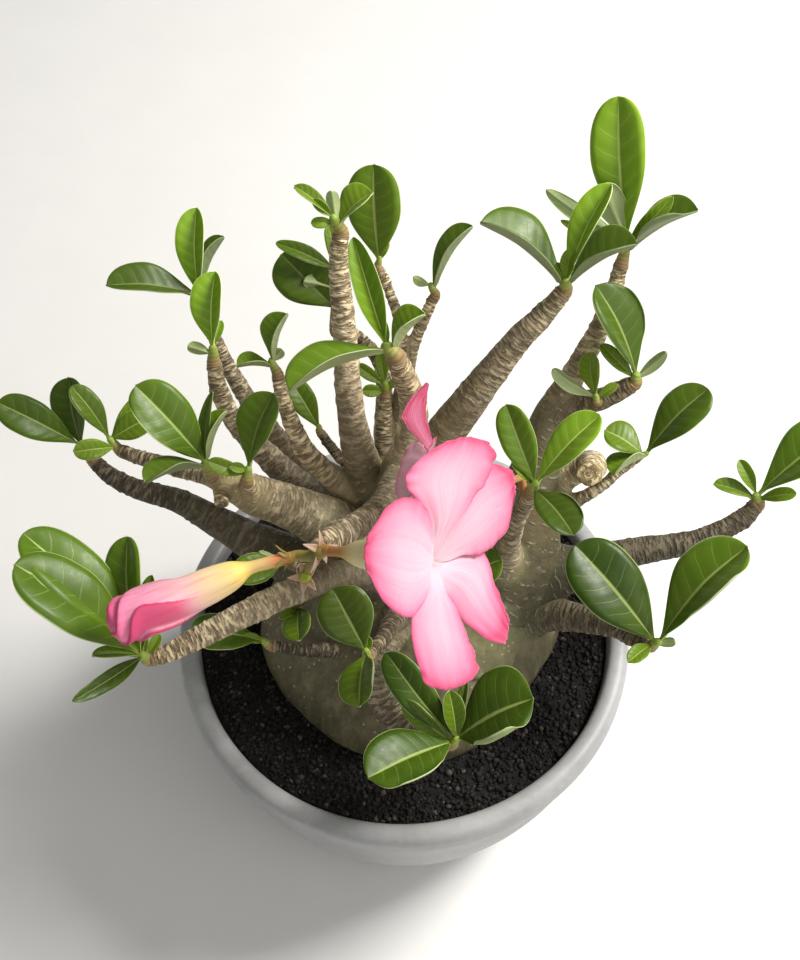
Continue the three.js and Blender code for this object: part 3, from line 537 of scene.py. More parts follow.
def petal_material():
    """Petal: red is nearness to the edge, green runs along, blue across, alpha is 1 beneath."""
    s = Shader("petal")
    edge, along, across, under = s.attribute("petal")
    cloud = s.noise(60, 3, 0.5)
    strand = s.strands(s.times(across, 26.0), s.times(along, 1.6))
    thread = s.band(strand, 0.42, 0.75)
    reach = s.shifted(s.shifted(edge, strand, 0.16), cloud, 0.15)
    face = s.ramp(reach, (0.0, (0.80, 0.48, 0.555)), (0.25, (0.80, 0.38, 0.475)), (0.5, (0.78, 0.26, 0.375)),
                  (0.75, (0.72, 0.155, 0.275)), (1.0, (0.56, 0.05, 0.14)))
    face = s.coats(face, (thread, 0.09, (0.82, 0.32, 0.42)),
                   (s.band(along, 0.0, 0.22, 0.4, 0.0), 1, (0.80, 0.40, 0.42)))
    back = s.ramp(reach, (0.0, (0.42, 0.19, 0.28)), (0.45, (0.45, 0.12, 0.21)), (0.9, (0.36, 0.02, 0.08)))
    back = s.coats(back, (thread, 0.3, (0.70, 0.42, 0.50)))
    s.glow(0.5, (0.003, 0.0012, 0.0016))
    s.named(s.bsdf, Sheen_Weight=0.12, Sheen_Roughness=0.5)
    normal = s.bump(strand, 0.2, 0.0005, s.bump(cloud, 0.3, 0.0014))
    return s.dress(s.mix(under, face, back), s.band(s.noise(300, 4, 0.6), 0.3, 0.7, 0.5, 0.64), normal, 0.3)


def tube_material(name, stops, streaks):
    """Flower tube or bud: red runs along, green around, blue is the overlap of the petals."""
    s = Shader(name)
    along, around, lap, _ = s.attribute("tube")
    strand = s.strands(s.times(around, 30.0), s.times(along, 2.5))
    skin = s.ramp(s.shifted(along, strand, 0.14), *stops)
    skin = s.coats(skin, (s.band(strand, 0.5, 0.75), streaks, (0.55, 0.22, 0.08)),
                   (lap, 0.9, (0.64, 0.022, 0.13)))
    s.glow(0.3, (0.002, 0.0012, 0.0006))
    return s.dress(skin, s.band(s.noise(400, 4, 0.6), 0.3, 0.7, 0.4, 0.55), s.bump(strand, 0.2, 0.0005), 0.4)


def floor_material():
    s = Shader("pale_floor")
    fine = s.noise(30, 4, 0.6)
    return s.dress(s.mix(fine, (0.80, 0.80, 0.79), (0.84, 0.84, 0.83)), s.band(fine, 0.3, 0.7, 0.7, 0.8))


# ---------------------------------------------------------------- shared form of the plant

CAUDEX = [
    # height, centre x, centre y, half-width in x, half-width in y
    [72, 1, -3, 44, 40], [84, 1, -4, 54, 49], [95, 1, -5, 58, 52], [106, 2, -4, 59, 51],
    [117, 3, -2, 55, 46], [128, 4, 0, 47, 39], [138, 4, 3, 38, 31], [148, 3, 6, 28, 24],
    [158, 1, 10, 18, 16],
]

# Waypoints [x, y, z, diameter] of each branch, from inside the caudex to its tip.
BRANCHES = {
    "centre": [[-2, 1, 118, 58], [-3, 5, 142, 36], [-4, 12, 160, 20], [1, 17, 188, 12.7],
               [5, 23, 212, 10], [2, 22, 232, 8.2], [-1, 22, 243, 7]],
    "upright": [[-6, 20, 160, 17], [-13, 23, 177, 13.5], [-17, 29, 205, 10], [-18, 43, 232, 8.3],
                [-19, 54, 253, 6.9], [-18, 58, 262, 5.6]],
    "curved": [[-11, 20, 158, 13], [-24, 21, 174, 9.5], [-34, 25, 187, 7.5], [-40, 33, 203, 5.6],
               [-42, 39, 212, 4.6]],
    "dark_twig": [[-14, 28, 165, 6], [-23, 34, 170, 4.5], [-29, 41, 174, 3.6]],
    "small": [[-3, 24, 168, 10], [-6, 35, 178, 6.2], [-5, 46, 190, 4.7]],
    "back_twig": [[-3, 30, 165, 9.7], [0, 46, 184, 6.6], [5, 56, 204, 5], [9, 61, 214, 4.3],
                  [13, 65, 222, 3.9]],
    "back_tall": [[-5, 30, 165, 9.7], [2, 46, 188, 5.8], [1, 59, 212, 4.3], [-3, 69, 222, 3.6],
                  [-6, 74, 227, 3.4]],
    "behind_upright": [[-6, 37, 175, 8], [-6, 59, 188, 5.9], [-14, 68, 196, 5.2],
                       [-22, 69, 200, 4.4]],
    "flowering": [[0, 16, 186, 12], [-7, -6, 196, 10.2], [-17, -20, 206, 8.9],
                  [-25, -30, 214, 7.7], [-27, -35, 217, 5.7]],
    "back_right": [[-1, 18, 150, 20], [15, 33, 180, 15.3], [25, 37, 198, 12.8],
                   [34, 42, 211, 10.8], [42, 46, 222, 9.3], [49, 49, 229, 8.2], [56, 53, 237, 6.2]],
    "left_trunk": [[-4, 6, 140, 32], [-19, 5, 160, 23], [-36, 6, 176, 17], [-51, 6, 188, 14],
                   [-59, 6, 195, 10.4], [-64, 6, 201, 6.2]],
    "left_knob": [[-51, 4, 188, 8.4], [-52, 3, 196, 5.8], [-52, 1, 204, 4.8]],
    "left_thin": [[-58, 7, 194, 8.3], [-70, 10, 195, 6.2], [-84, 15, 195, 5.9],
                  [-93, 19, 194, 5.3], [-98, 22, 193, 4.8]],
    "left_stub": [[-58, 7, 195, 7.6], [-61, 1, 197, 6.2], [-61, -4, 197, 5]],
    "left_low": [[-7, 5, 118, 36], [-32, 9, 128, 24], [-54, 16, 136, 16.1], [-70, 23, 142, 12.3],
                 [-85, 30, 147, 9.6], [-100, 33, 151, 8], [-111, 38, 154, 6.9],
                 [-117, 43, 156, 5.6]],
    "left_back": [[-20, 22, 140, 19], [-36, 28, 155, 12.8], [-50, 35, 170, 9.7],
                  [-60, 40, 184, 7.7], [-65, 47, 195, 6.9], [-66, 52, 203, 5.6]],
    "left_behind": [[-20, 30, 135, 15.6], [-39, 42, 152, 10.8], [-52, 50, 172, 7.9],
                    [-62, 59, 190, 6.2], [-68, 67, 205, 4.9], [-71, 72, 212, 4]],
    "front_left": [[-2, -2, 132, 27], [-14, -10, 156, 13], [-26, -16, 167, 10.9],
                   [-39, -25, 173, 9.7], [-54, -34, 175, 9.2], [-69, -42, 174, 7.8],
                   [-79, -47, 173, 6.7], [-85, -49, 173, 5.8]],
    "low_left": [[-2, -18, 112, 12], [-22, -25, 128, 7], [-35, -28, 134, 5.2],
                 [-48, -27, 136, 4.4]],
    "under_left": [[-26, -15, 165, 7.8], [-35, -18, 158, 5], [-38, -18, 153, 4]],
    "behind_bud": [[-30, -16, 166, 7.1], [-35, -13, 167, 4.6], [-39, -11, 167, 3.8]],
    "front_drop": [[5, -1, 130, 23], [0, -19, 140, 10.3], [-6, -33, 143, 8.7],
                   [-10, -42, 138, 10.1], [-7, -49, 131, 10.8], [2, -58, 126, 8.7],
                   [11, -62, 125, 6.5], [15.4, -63, 127, 5]],
    "front_mid": [[2, -9, 138, 15], [-3, -25, 152, 8.6], [-8, -39, 163, 5.5], [-12, -48, 169, 4.4]],
    "right_trunk": [[5, 3, 112, 62], [30, 4, 128, 50], [42, 8, 142, 34], [50, 20, 157, 20]],
    "far_right": [[44, 12, 150, 21], [52, 33, 172, 14], [56, 44, 182, 11], [64, 51, 196, 9],
                  [71, 58, 208, 7.9], [76, 66, 218, 6.7], [79, 73, 228, 5.5]],
    "right_mid": [[49, 27, 162, 16.4], [55, 40, 177, 11.8], [64, 43, 185, 9.9], [74, 41, 193, 7.9],
                  [80, 41, 198, 7.1], [83, 41, 201, 5.8]],
    "mid_shoot": [[73, 42, 191, 5.1], [71, 38, 195, 3.8]],
    "front_right": [[36, -2, 145, 18.6], [38, -3, 165, 9.3], [40, -5, 185, 6.2], [42, -7, 200, 5.7],
                    [43, -9, 209, 5]],
    "right_stub": [[49, 22, 148, 19], [60, 29, 160, 12.7], [70, 29, 168, 11.1], [69, 21, 176, 9.8],
                   [67, 16, 181, 8.6]],
    "right_twig": [[55, 21, 146, 11.4], [66, 22, 155, 5.6], [74, 24, 160, 4.5], [81, 28, 164, 4.1],
                   [88, 32, 167, 3.6]],
    "long_right": [[38, 2, 122, 35], [60, 2, 136, 19], [74, 3, 142, 13.5], [89, 5, 145, 10.9],
                   [108, 7, 147, 9], [119, 10, 150, 8.2], [128, 14, 153, 7.5], [132, 17, 156, 6.3]],
    "low_right": [[34, -5, 116, 31], [52, -11, 126, 14.4], [66, -16, 132, 10.8],
                  [78, -22, 136, 8.5], [84, -28, 138, 6.6], [88.6, -31, 139, 5.6]],
}

# Each shoot ends at `top`. Leaves are [place on the shoot 0..1, heading, rise, roll, length,
# width, fold] with angles in degrees. The solids hold the larger ones; a few of those stand some
# millimetres away here, where a closer look at the photograph moved them.
SHOOTS = {
    "left_back": ([-66, 55, 209], [
        [1, 83, 50, 22, 27, 16, 35], [0.6, -177, 33, -129, 10, 5, 25], [1, 64, 39, -23, 10, 4, 30]]),
    "left_behind": ([-71, 73, 218], [
        [0.8, -171, 23, -5, 33, 17, 30], [0.7, 86, 59, 20, 32, 14, 35], [1, 53, 44, 48, 22, 14, 35]]),
    "curved": ([-44, 42, 217], [
        [0.9, 63, 49, 45, 18, 16, 35], [0.7, -166, 19, -29, 13, 11, 35], [0.9, 35, 38, 145, 6, 4, 20]]),
    "upright": ([-20, 59, 269], [
        [1, 159, 38, 5, 16, 6, 35], [0.7, -172, 9, 45, 8, 4, 20], [1, 164, 45, 44, 9, 4, 30],
        [0.5, 105, 63, -171, 12, 5, 30], [0.5, 24, 39, 15, 16, 15, 28]]),
    "back_tall": ([-6, 76, 231], [
        [0.6, 94, 57, 21, 34, 20, 9], [0.6, 59, 43, -4, 8, 4, 25]]),
    "behind_upright": ([-22, 79, 222], [
        [0.3, 149, 38, 39, 28, 20, 9], [1, 167, 25, 17, 23, 7, 25], [0.7, 178, 19, -117, 12, 6, 20],
        [1, 99, 47, -18, 16, 6, 20]]),
    "back_twig": ([12, 67, 226], [
        [0.7, 43, 45, 40, 26, 15, 35], [1, 167, 22, -168, 7, 4, 20]]),
    "centre": ([-4, 23, 248], [
        [0.7, -151, 6, -34, 36, 23, 32], [1, 115, 52, 18, 36, 11, 38], [0.4, 30, 45, 35, 17, 17, 35],
        [0.8, 107, 58, 20, 10, 4, 30]]),
    "small": ([-5, 48, 195], [
        [0.8, 155, 30, 33, 13, 5, 20], [0.9, 101, 45, 6, 12, 5, 20], [0.6, 18, 31, -51, 7, 4, 20],
        [0.3, -166, 22, 40, 9, 5, 20]]),
    "dark_twig": ([-30, 43, 176], [
        [0.5, 128, 39, 9, 22, 10, 12]]),
    "back_right": ([57, 54, 242], [
        [0.6, 156, 32, -28, 36, 27, 32], [1, 52, 54, 16, 35, 13, 38], [0.7, 5, 40, 26, 28, 23, 33],
        [0.8, 76, 62, 16, 12, 6, 30], [0.7, 127, 48, 30, 8, 4, 30]]),
    "far_right": ([81, 78, 234], [
        [1, 102, 56, 34, 50, 20, 15], [1, 155, 22, -154, 34, 7, 20], [1, 150, 60, -121, 26, 11, 15],
        [1, 21, 47, -49, 22, 7, 25], [0.6, 5, 40, 24, 29, 21, 30], [0.6, 158, 15, 43, 25, 4, 20]]),
    "right_mid": ([84, 42, 205], [
        [1, 125, 44, -17, 35, 22, 22], [0.5, 150, 37, 32, 18, 6, 25], [0.3, 18, 47, 156, 16, 5, 25]]),
    "mid_shoot": ([70, 38, 198], [
        [0.7, 155, 21, 179, 19, 7, 20], [0.9, 104, 47, 58, 16, 10, 15], [0.7, 16, 38, -33, 9, 4, 20]]),
    "front_right": ([44, -10, 216], [
        [0.9, 118, 43, 27, 28, 12, 15], [0.9, 33, 41, 4, 31, 14, 20], [0.6, 140, 41, 13, 12, 5, 25],
        [0.4, -63, 15, 10, 25, 15, 15]]),
    "right_twig": ([91, 32, 170], [
        [0.9, 35, 38, 14, 33, 19, 10], [0.7, 150, 18, -12, 17, 16, 15], [1, -146, 1, -47, 16, 16, 33]]),
    "long_right": ([132, 19, 160], [
        [0.6, 162, 13, -7, 17, 8, 25], [1, 124, 37, 23, 15, 6, 30], [0.6, -13, 33, -15, 15, 6, 20],
        [1, 21, 43, 10, 43, 23, 22]]),
    "low_right": ([91.8, -32.4, 144], [
        [0.7, 135, 29, 11, 46, 25, 9], [1, 38, 41, 28, 47, 29, 18], [0.3, -138, 18, 3, 14, 7, 25],
        [0.3, -18, 39, 146, 10, 4, 25]]),
    "left_trunk": ([-66, 7, 207], [
        [1, 145, 44, 11, 35, 19, 10], [1, 61, 40, 47, 19, 12, 35], [0.8, -147, 24, -31, 24, 15, 33],
        [1, 83, 33, 42, 24, 7, 20]]),
    "left_knob": ([-51, 2, 210], [
        [1, 63, 44, 24, 27, 19, 22], [0.5, -178, 37, 47, 15, 6, 20], [0.9, -169, 37, 41, 7, 4, 30]]),
    "left_thin": ([-102, 25, 196], [
        [1, 135, 47, -9, 23, 10, 20], [1, 17, 23, -23, 18, 11, 20], [1, 49, 26, -32, 18, 6, 20],
        [0.3, -155, 24, 32, 16, 8, 20]]),
    "left_low": ([-122, 48, 160], [
        [1, 170, 39, 25, 35, 15, 12], [0.9, 101, 47, 36, 27, 18, 20]]),
    "front_left": ([-88, -50, 177], [
        [1, 156, 44, -10, 52.5, 24, 9], [1, 140, 37, -20, 56, 24, 14], [1, 97, 38, 40, 40, 19, 18],
        [1, 80, 33, 15, 27, 8, 20], [0.8, -125, 31, 46, 34, 7, 25], [1, -160, 38, -13, 18, 6, 25],
        [0.6, 92, 52, -10, 9, 4, 30], [0.4, 50, 36, -26, 9, 4, 25]]),
    "low_left": ([-52, -26, 139], [
        [0.9, -173, 31, -9, 28, 17, 12], [0.6, -178, 39, 14, 10, 4, 20]]),
    "under_left": ([-38, -18, 149], [
        [1, -87, 22, -20, 18, 12, 22], [1, -134, 26, 13, 10, 4, 20]]),
    "behind_bud": ([-42, -10, 168], [
        [1, -152, 20, 15, 20, 12, 15], [0.3, 170, 28, -180, 12, 4, 20]]),
    "front_mid": ([-13, -49, 175], [
        [1, 124, 39, 14, 24, 19, 12], [0.7, -96, 24, -22, 26, 15, 22], [0.7, 80, 51, -7, 6, 4, 30]]),
    "front_drop": ([18, -63, 132], [
        [0.5, -148, 24, -3, 38.5, 24, 15], [1, 14, 36, 19, 33, 37, 14], [0.7, 134, 31, 32, 40, 14, 12],
        [0.4, 150, 34, 59, 24, 9, 15], [1, 102, 52, -7, 19, 9, 28], [1, 78, 35, 22, 21, 5, 20]]),
}

# How light the bark of a branch is in its lower and its upper part, its own tone together with painted light
# and painted shade; 1 for all others.
BRANCH_TONE_AND_PAINTED_LIGHT = {
    "centre": (1.2, 1.6), "upright": (1.0, 1.6), "curved": (1.8, 1.7), "dark_twig": (0.8, 0.3),
    "small": (0.55, 1.2), "back_twig": (1.1, 1.6), "back_tall": (0.75, 1.4), "flowering": (0.5, 1.0),
    "left_trunk": (1.05, 1.4), "left_knob": (1.7, 1.6), "left_stub": (1.2, 1.15),
    "left_thin": (1.15, 0.8), "left_low": (0.62, 0.32), "left_back": (0.45, 1.2),
    "front_left": (0.4, 1.4), "low_left": (0.7, 0.28), "under_left": (0.7, 0.5),
    "behind_bud": (1.7, 1.6), "front_drop": (0.85, 0.55), "front_mid": (0.75, 0.6),
    "right_trunk": (0.6, 0.5), "far_right": (0.5, 1.35), "right_mid": (0.6, 0.65),
    "mid_shoot": (0.5, 0.5), "right_stub": (1.7, 1.55), "right_twig": (0.9, 1.3),
    "long_right": (0.35, 0.32), "low_right": (0.5, 0.45),
}


def branch_end(name):
    """Tip, end direction and end radius of a branch, as the solids have them."""
    way = BRANCHES[name]
    steps = 1 if len(way) >= 6 else 2
    path = spline([w[:3] for w in way], steps)
    return path[-1], unit(path[-1] - path[-2]), way[-1][3] / 2


# ---------------------------------------------------------------- pot

SHOULDER_RADIUS, SHOULDER_HEIGHT = 87, 92
BASE_RADIUS = 61
WALL = 6.5


def bowl_radius(z):
    """Outer radius of the bowl at heights z."""
    share = (SHOULDER_HEIGHT - np.asarray(z, float)) / SHOULDER_HEIGHT
    return SHOULDER_RADIUS - (SHOULDER_RADIUS - BASE_RADIUS) * share * share


def pot_profile():
    """The pot's section from the middle of its underside, up outside, over the lip and down."""
    outside = [(0, 0.0), (30, 0.0), (54, 0.0), (57.4, 0.15), (59.4, 0.9), (60.8, 2.2), (61.9, 4)]
    outside += [(float(bowl_radius(z)) + 0.9 * float(smooth(70, 86, z)), z) for z in np.linspace(7, 84, 24)]
    lip = [(87.9, 85.4), (88.0, 86.2), (87.7, 86.9), (86.5, 87.4), (85.0, 87.7), (85.0, 88.3),
           (87.2, 88.6), (88.9, 88.7), (89.6, 89.0), (89.93, 89.7), (90.0, 91.2), (90.0, 95.0),
           (89.8, 96.9), (89.2, 98.3), (88.2, 99.3), (86.8, 99.85), (85.2, 100.0),
           (83.8, 99.75), (82.7, 99.1), (82.0, 98.1), (81.7, 96.8), (81.55, 95), (81.3, 93), (80.9, 90)]
    inside = [(float(bowl_radius(z)) - WALL, z) for z in np.linspace(85, 13, 12)]
    inside += [(57, 10), (53, 8.6), (48, 8), (20, 8), (0, 8)]
    return outside + lip + inside


def make_pot():
    sides = 180
    turn = angles(sides)
    profile = np.array(pot_profile(), float)[1:-1]  # the two ends on the axis are the caps
    z = profile[:, 1][:, None] * np.ones(sides)
    sway = 0.12 * np.sin(2 * turn + 0.6) + 0.08 * np.sin(5 * turn + 0.05 * z)
    r = profile[:, 0][:, None] + sway * smooth(2, 12, z)
    points, faces = capped(np.stack([r * np.cos(turn), r * np.sin(turn), z], axis=2))
    # painted shade in the groove under the lip
    painted_groove_shade = smooth(84.5, 85.4, points[:, 2]) * smooth(89.7, 88.9, points[:, 2])
    painted_groove_shade = painted_groove_shade * (np.hypot(points[:, 0], points[:, 1]) > 84.5)
    build = Build("ledge")
    build.add(points, faces, ledge=painted_groove_shade[:, None])
    return place(build.object("bowl_pot", [pot_material()]), "pot", "pot")


# ---------------------------------------------------------------- soil

ICO_T = (1 + math.sqrt(5)) / 2
ICO = np.array([(-1, ICO_T, 0), (1, ICO_T, 0), (-1, -ICO_T, 0), (1, -ICO_T, 0),
                (0, -1, ICO_T), (0, 1, ICO_T), (0, -1, -ICO_T), (0, 1, -ICO_T),
                (ICO_T, 0, -1), (ICO_T, 0, 1), (-ICO_T, 0, -1), (-ICO_T, 0, 1)]) / math.hypot(1, ICO_T)
ICO_FACES = [(0, 11, 5), (0, 5, 1), (0, 1, 7), (0, 7, 10), (0, 10, 11), (1, 5, 9), (5, 11, 4),
             (11, 10, 2), (10, 7, 6), (7, 1, 8), (3, 9, 4), (3, 4, 2), (3, 2, 6), (3, 6, 8),
             (3, 8, 9), (4, 9, 5), (2, 4, 11), (6, 2, 10), (8, 6, 7), (9, 8, 1)]
SOIL_TOP = 93.6
GRANULES = 9500


def soil_height(x, y):
    """Height of the uneven top of the soil."""
    p = np.stack([x, y, np.zeros_like(x)], axis=1)
    return SOIL_TOP + 0.9 * noise3(p, 11, 3) + 0.5 * noise3(p, 3.1, 4) + 0.35 * noise3(p, 1.4, 5)


def make_soil():
    build = Build("tint")
    sides = 220
    turn = angles(sides)
    rings = []
    for z in (8.4, 13, 44, 88):
        r = 48.0 if z < 9 else float(bowl_radius(z)) - WALL - 0.3
        rings.append(np.stack([r * np.cos(turn), r * np.sin(turn), np.full(sides, z)], axis=1))
    for r in np.concatenate([np.linspace(81.0, 34, 44), [18, 6]]):
        x, y = r * np.cos(turn), r * np.sin(turn)
        z = soil_height(x, y) if r > 30 else np.full(sides, SOIL_TOP - 1)
        rings.append(np.stack([x, y, z], axis=1))
    points, faces = capped(np.array(rings))
    build.add(points, faces, tint=0.25 + 0.2 * noise3(points, 2.5, 8)[:, None])
    # loose granules in a ring around the caudex
    rng = np.random.default_rng(11)
    r = np.sqrt(rng.uniform(46**2, 80.2**2, GRANULES))
    a = rng.uniform(0, TAU, GRANULES)
    x, y = r * np.cos(a), r * np.sin(a)
    ground = soil_height(x, y)
    size = 0.5 + 0.75 * rng.random(GRANULES) ** 1.5
    shade = np.clip(rng.normal(0.5, 0.24, GRANULES), 0, 1)
    for i in range(GRANULES):
        stretch = size[i] * rng.uniform(0.6, 1.35, 3)
        rolled = np.array(Quaternion(rng.normal(size=4)).normalized().to_matrix())
        lumps = ICO * stretch * rng.uniform(0.8, 1.15, (12, 1))
        at = arr(x[i], y[i], ground[i] + size[i] * rng.uniform(-0.1, 0.45))
        build.add(lumps @ rolled.T + at, ICO_FACES, tint=(shade[i], shade[i], shade[i], 1))
    return place(build.object("potting_soil", [soil_material()]), "soil", "soil")


# ---------------------------------------------------------------- wood

CAUDEX_TOP = CAUDEX[-1][0]


def caudex_level(z):
    """Centre and half-widths of the caudex at heights z, and the place in its table."""
    table = np.array(CAUDEX, float)
    fine = spline(table, 8)
    columns = [np.interp(z, fine[:, 0], fine[:, k]) for k in range(1, 5)]
    level = np.interp(z, table[:, 0], np.arange(len(table)))
    return (*columns, level)


# Share of the caudex's half-widths at angles around it: two shallow hollows beside a front lobe.
CAUDEX_SWELL = spline([
    (-41, 0.94), (-21, 0.925), (0, 1.01), (30, 1.01), (60, 0.99), (90, 1.01), (120, 0.99), (150, 1.01),
    (182, 0.985), (201, 0.945), (219, 0.93), (232, 0.942), (244, 0.962), (256, 0.99), (275, 1.005),
    (300, 0.985), (319, 0.94), (339, 0.925), (360, 1.01), (390, 1.01)], 6)


def caudex_swell(turn, level):
    """Share of the half-widths at angles around the caudex and places in its table."""
    lobes = np.interp(np.degrees(turn) % 360, *CAUDEX_SWELL.T)
    upper = smooth(3.5, 6.5, level)
    return lerp(lobes, 1 + 0.35 * (lobes - 1), upper) + 0.008 * np.cos(5 * turn + 0.35 * level)


def caudex_mesh(build):
    sides = 120
    turn = angles(sides)
    rings = []
    for z in np.linspace(CAUDEX[0][0], CAUDEX_TOP, 60):
        x, y, hx, hy, level = caudex_level(z)
        swell = caudex_swell(turn, level)
        rings.append(np.stack([x + hx * swell * np.cos(turn), y + hy * swell * np.sin(turn),
                               np.full(sides, z)], axis=1))
    build.add(*capped(np.array(rings)))


VOXEL = 0.0005  # metres
FILLET_ROUNDS = 26
LIGHT_ROUNDS = 60
GOLDEN_TURN = 2.39996  # radians from one scar to the next


def remeshed(build):
    """The union of all overlapping closed bodies of a build, as one even mesh."""
    rough = build.object("rough_wood", [])
    made = rough.modifiers.new("union", "REMESH")
    made.mode = "VOXEL"
    made.voxel_size = VOXEL
    made.adaptivity = 0
    graph = bpy.context.evaluated_depsgraph_get()
    mesh = bpy.data.meshes.new_from_object(rough.evaluated_get(graph))
    bpy.data.objects.remove(rough)
    return mesh


def branch_fields(points):
    """For each point the nearest and second nearest branch or caudex, and ring coordinates."""
    n = len(points)
    second = np.full(n, 1e9)
    radius_2 = np.ones(n)
    along, around, left = np.zeros((3, n))
    which = np.zeros(n, int)

    # the caudex counts first, as number 0
    x, y, hx, hy, level = caudex_level(points[:, 2])
    turn = np.arctan2((points[:, 1] - y) / hy, (points[:, 0] - x) / hx)
    swell = caudex_swell(turn, level)
    reach = np.hypot((points[:, 0] - x) / hx, (points[:, 1] - y) / hy)
    mean = np.sqrt(hx * hy)
    d = (reach - swell) * mean * 0.85  # near enough the distance from its leaning side
    d = np.where(points[:, 2] > CAUDEX_TOP, np.maximum(d, points[:, 2] - CAUDEX_TOP), d)
    first, radius_1 = d, mean
    for index, way in enumerate(BRANCHES.values(), start=1):
        fine = spline(way, 24)
        centres, radii = fine[:, :3], fine[:, 3] / 2
        run = run_along(centres)
        pad = radii.max() + 9
        low, high = centres.min(0) - pad, centres.max(0) + pad
        near = np.where(np.all((points > low) & (points < high), axis=1))[0]
        if not len(near):
            continue
        tangent, across, third = frames_along(centres)
        p = points[near]
        best = np.full(len(near), 1e9)
        at = np.zeros(len(near), int)
        for k in range(len(centres)):
            dk = np.linalg.norm(p - centres[k], axis=1) - radii[k]
            closer = dk < best
            best[closer] = dk[closer]
            at[closer] = k
        offset = p - centres[at]
        onward, sideways, crossways = (
            np.einsum("ij,ij->i", offset, way_of[at]) for way_of in (tangent, across, third))
        s = run[at] + onward
        remaining = run[-1] - s
        radial = np.linalg.norm(offset - tangent[at] * onward[:, None], axis=1)
        on_end = (at == len(centres) - 1) & (remaining < 0.6)
        remaining = remaining - on_end * np.clip(radii[-1] - radial, 0, None)
        closer = best < first[near]
        win, lose = near[closer], near[~closer]
        second[win] = first[win]
        radius_2[win] = radius_1[win]
        first[win] = best[closer]
        radius_1[win] = radii[at][closer]
        along[win] = s[closer]
        left[win] = remaining[closer]
        around[win] = np.arctan2(crossways, sideways)[closer]
        which[win] = index
        runner = best[~closer] < second[lose]
        second[lose[runner]] = best[~closer][runner]
        radius_2[lose[runner]] = radii[at][~closer][runner]
    return first, second, radius_1, radius_2, along, left, around, which


def from_mesh(rows, name, width, kind):
    """A property of a mesh's points or edges as rows of numbers."""
    flat = np.zeros(len(rows) * width, kind)
    rows.foreach_get(name, flat)
    return flat.reshape(-1, width)


def neighbour_mean(values, edges, count):
    """Mean of each column of values over the neighbours of every point."""
    a, b = edges.T
    total = [np.bincount(a, v[b], len(v)) + np.bincount(b, v[a], len(v)) for v in values.T]
    return np.stack(total, axis=1) / count


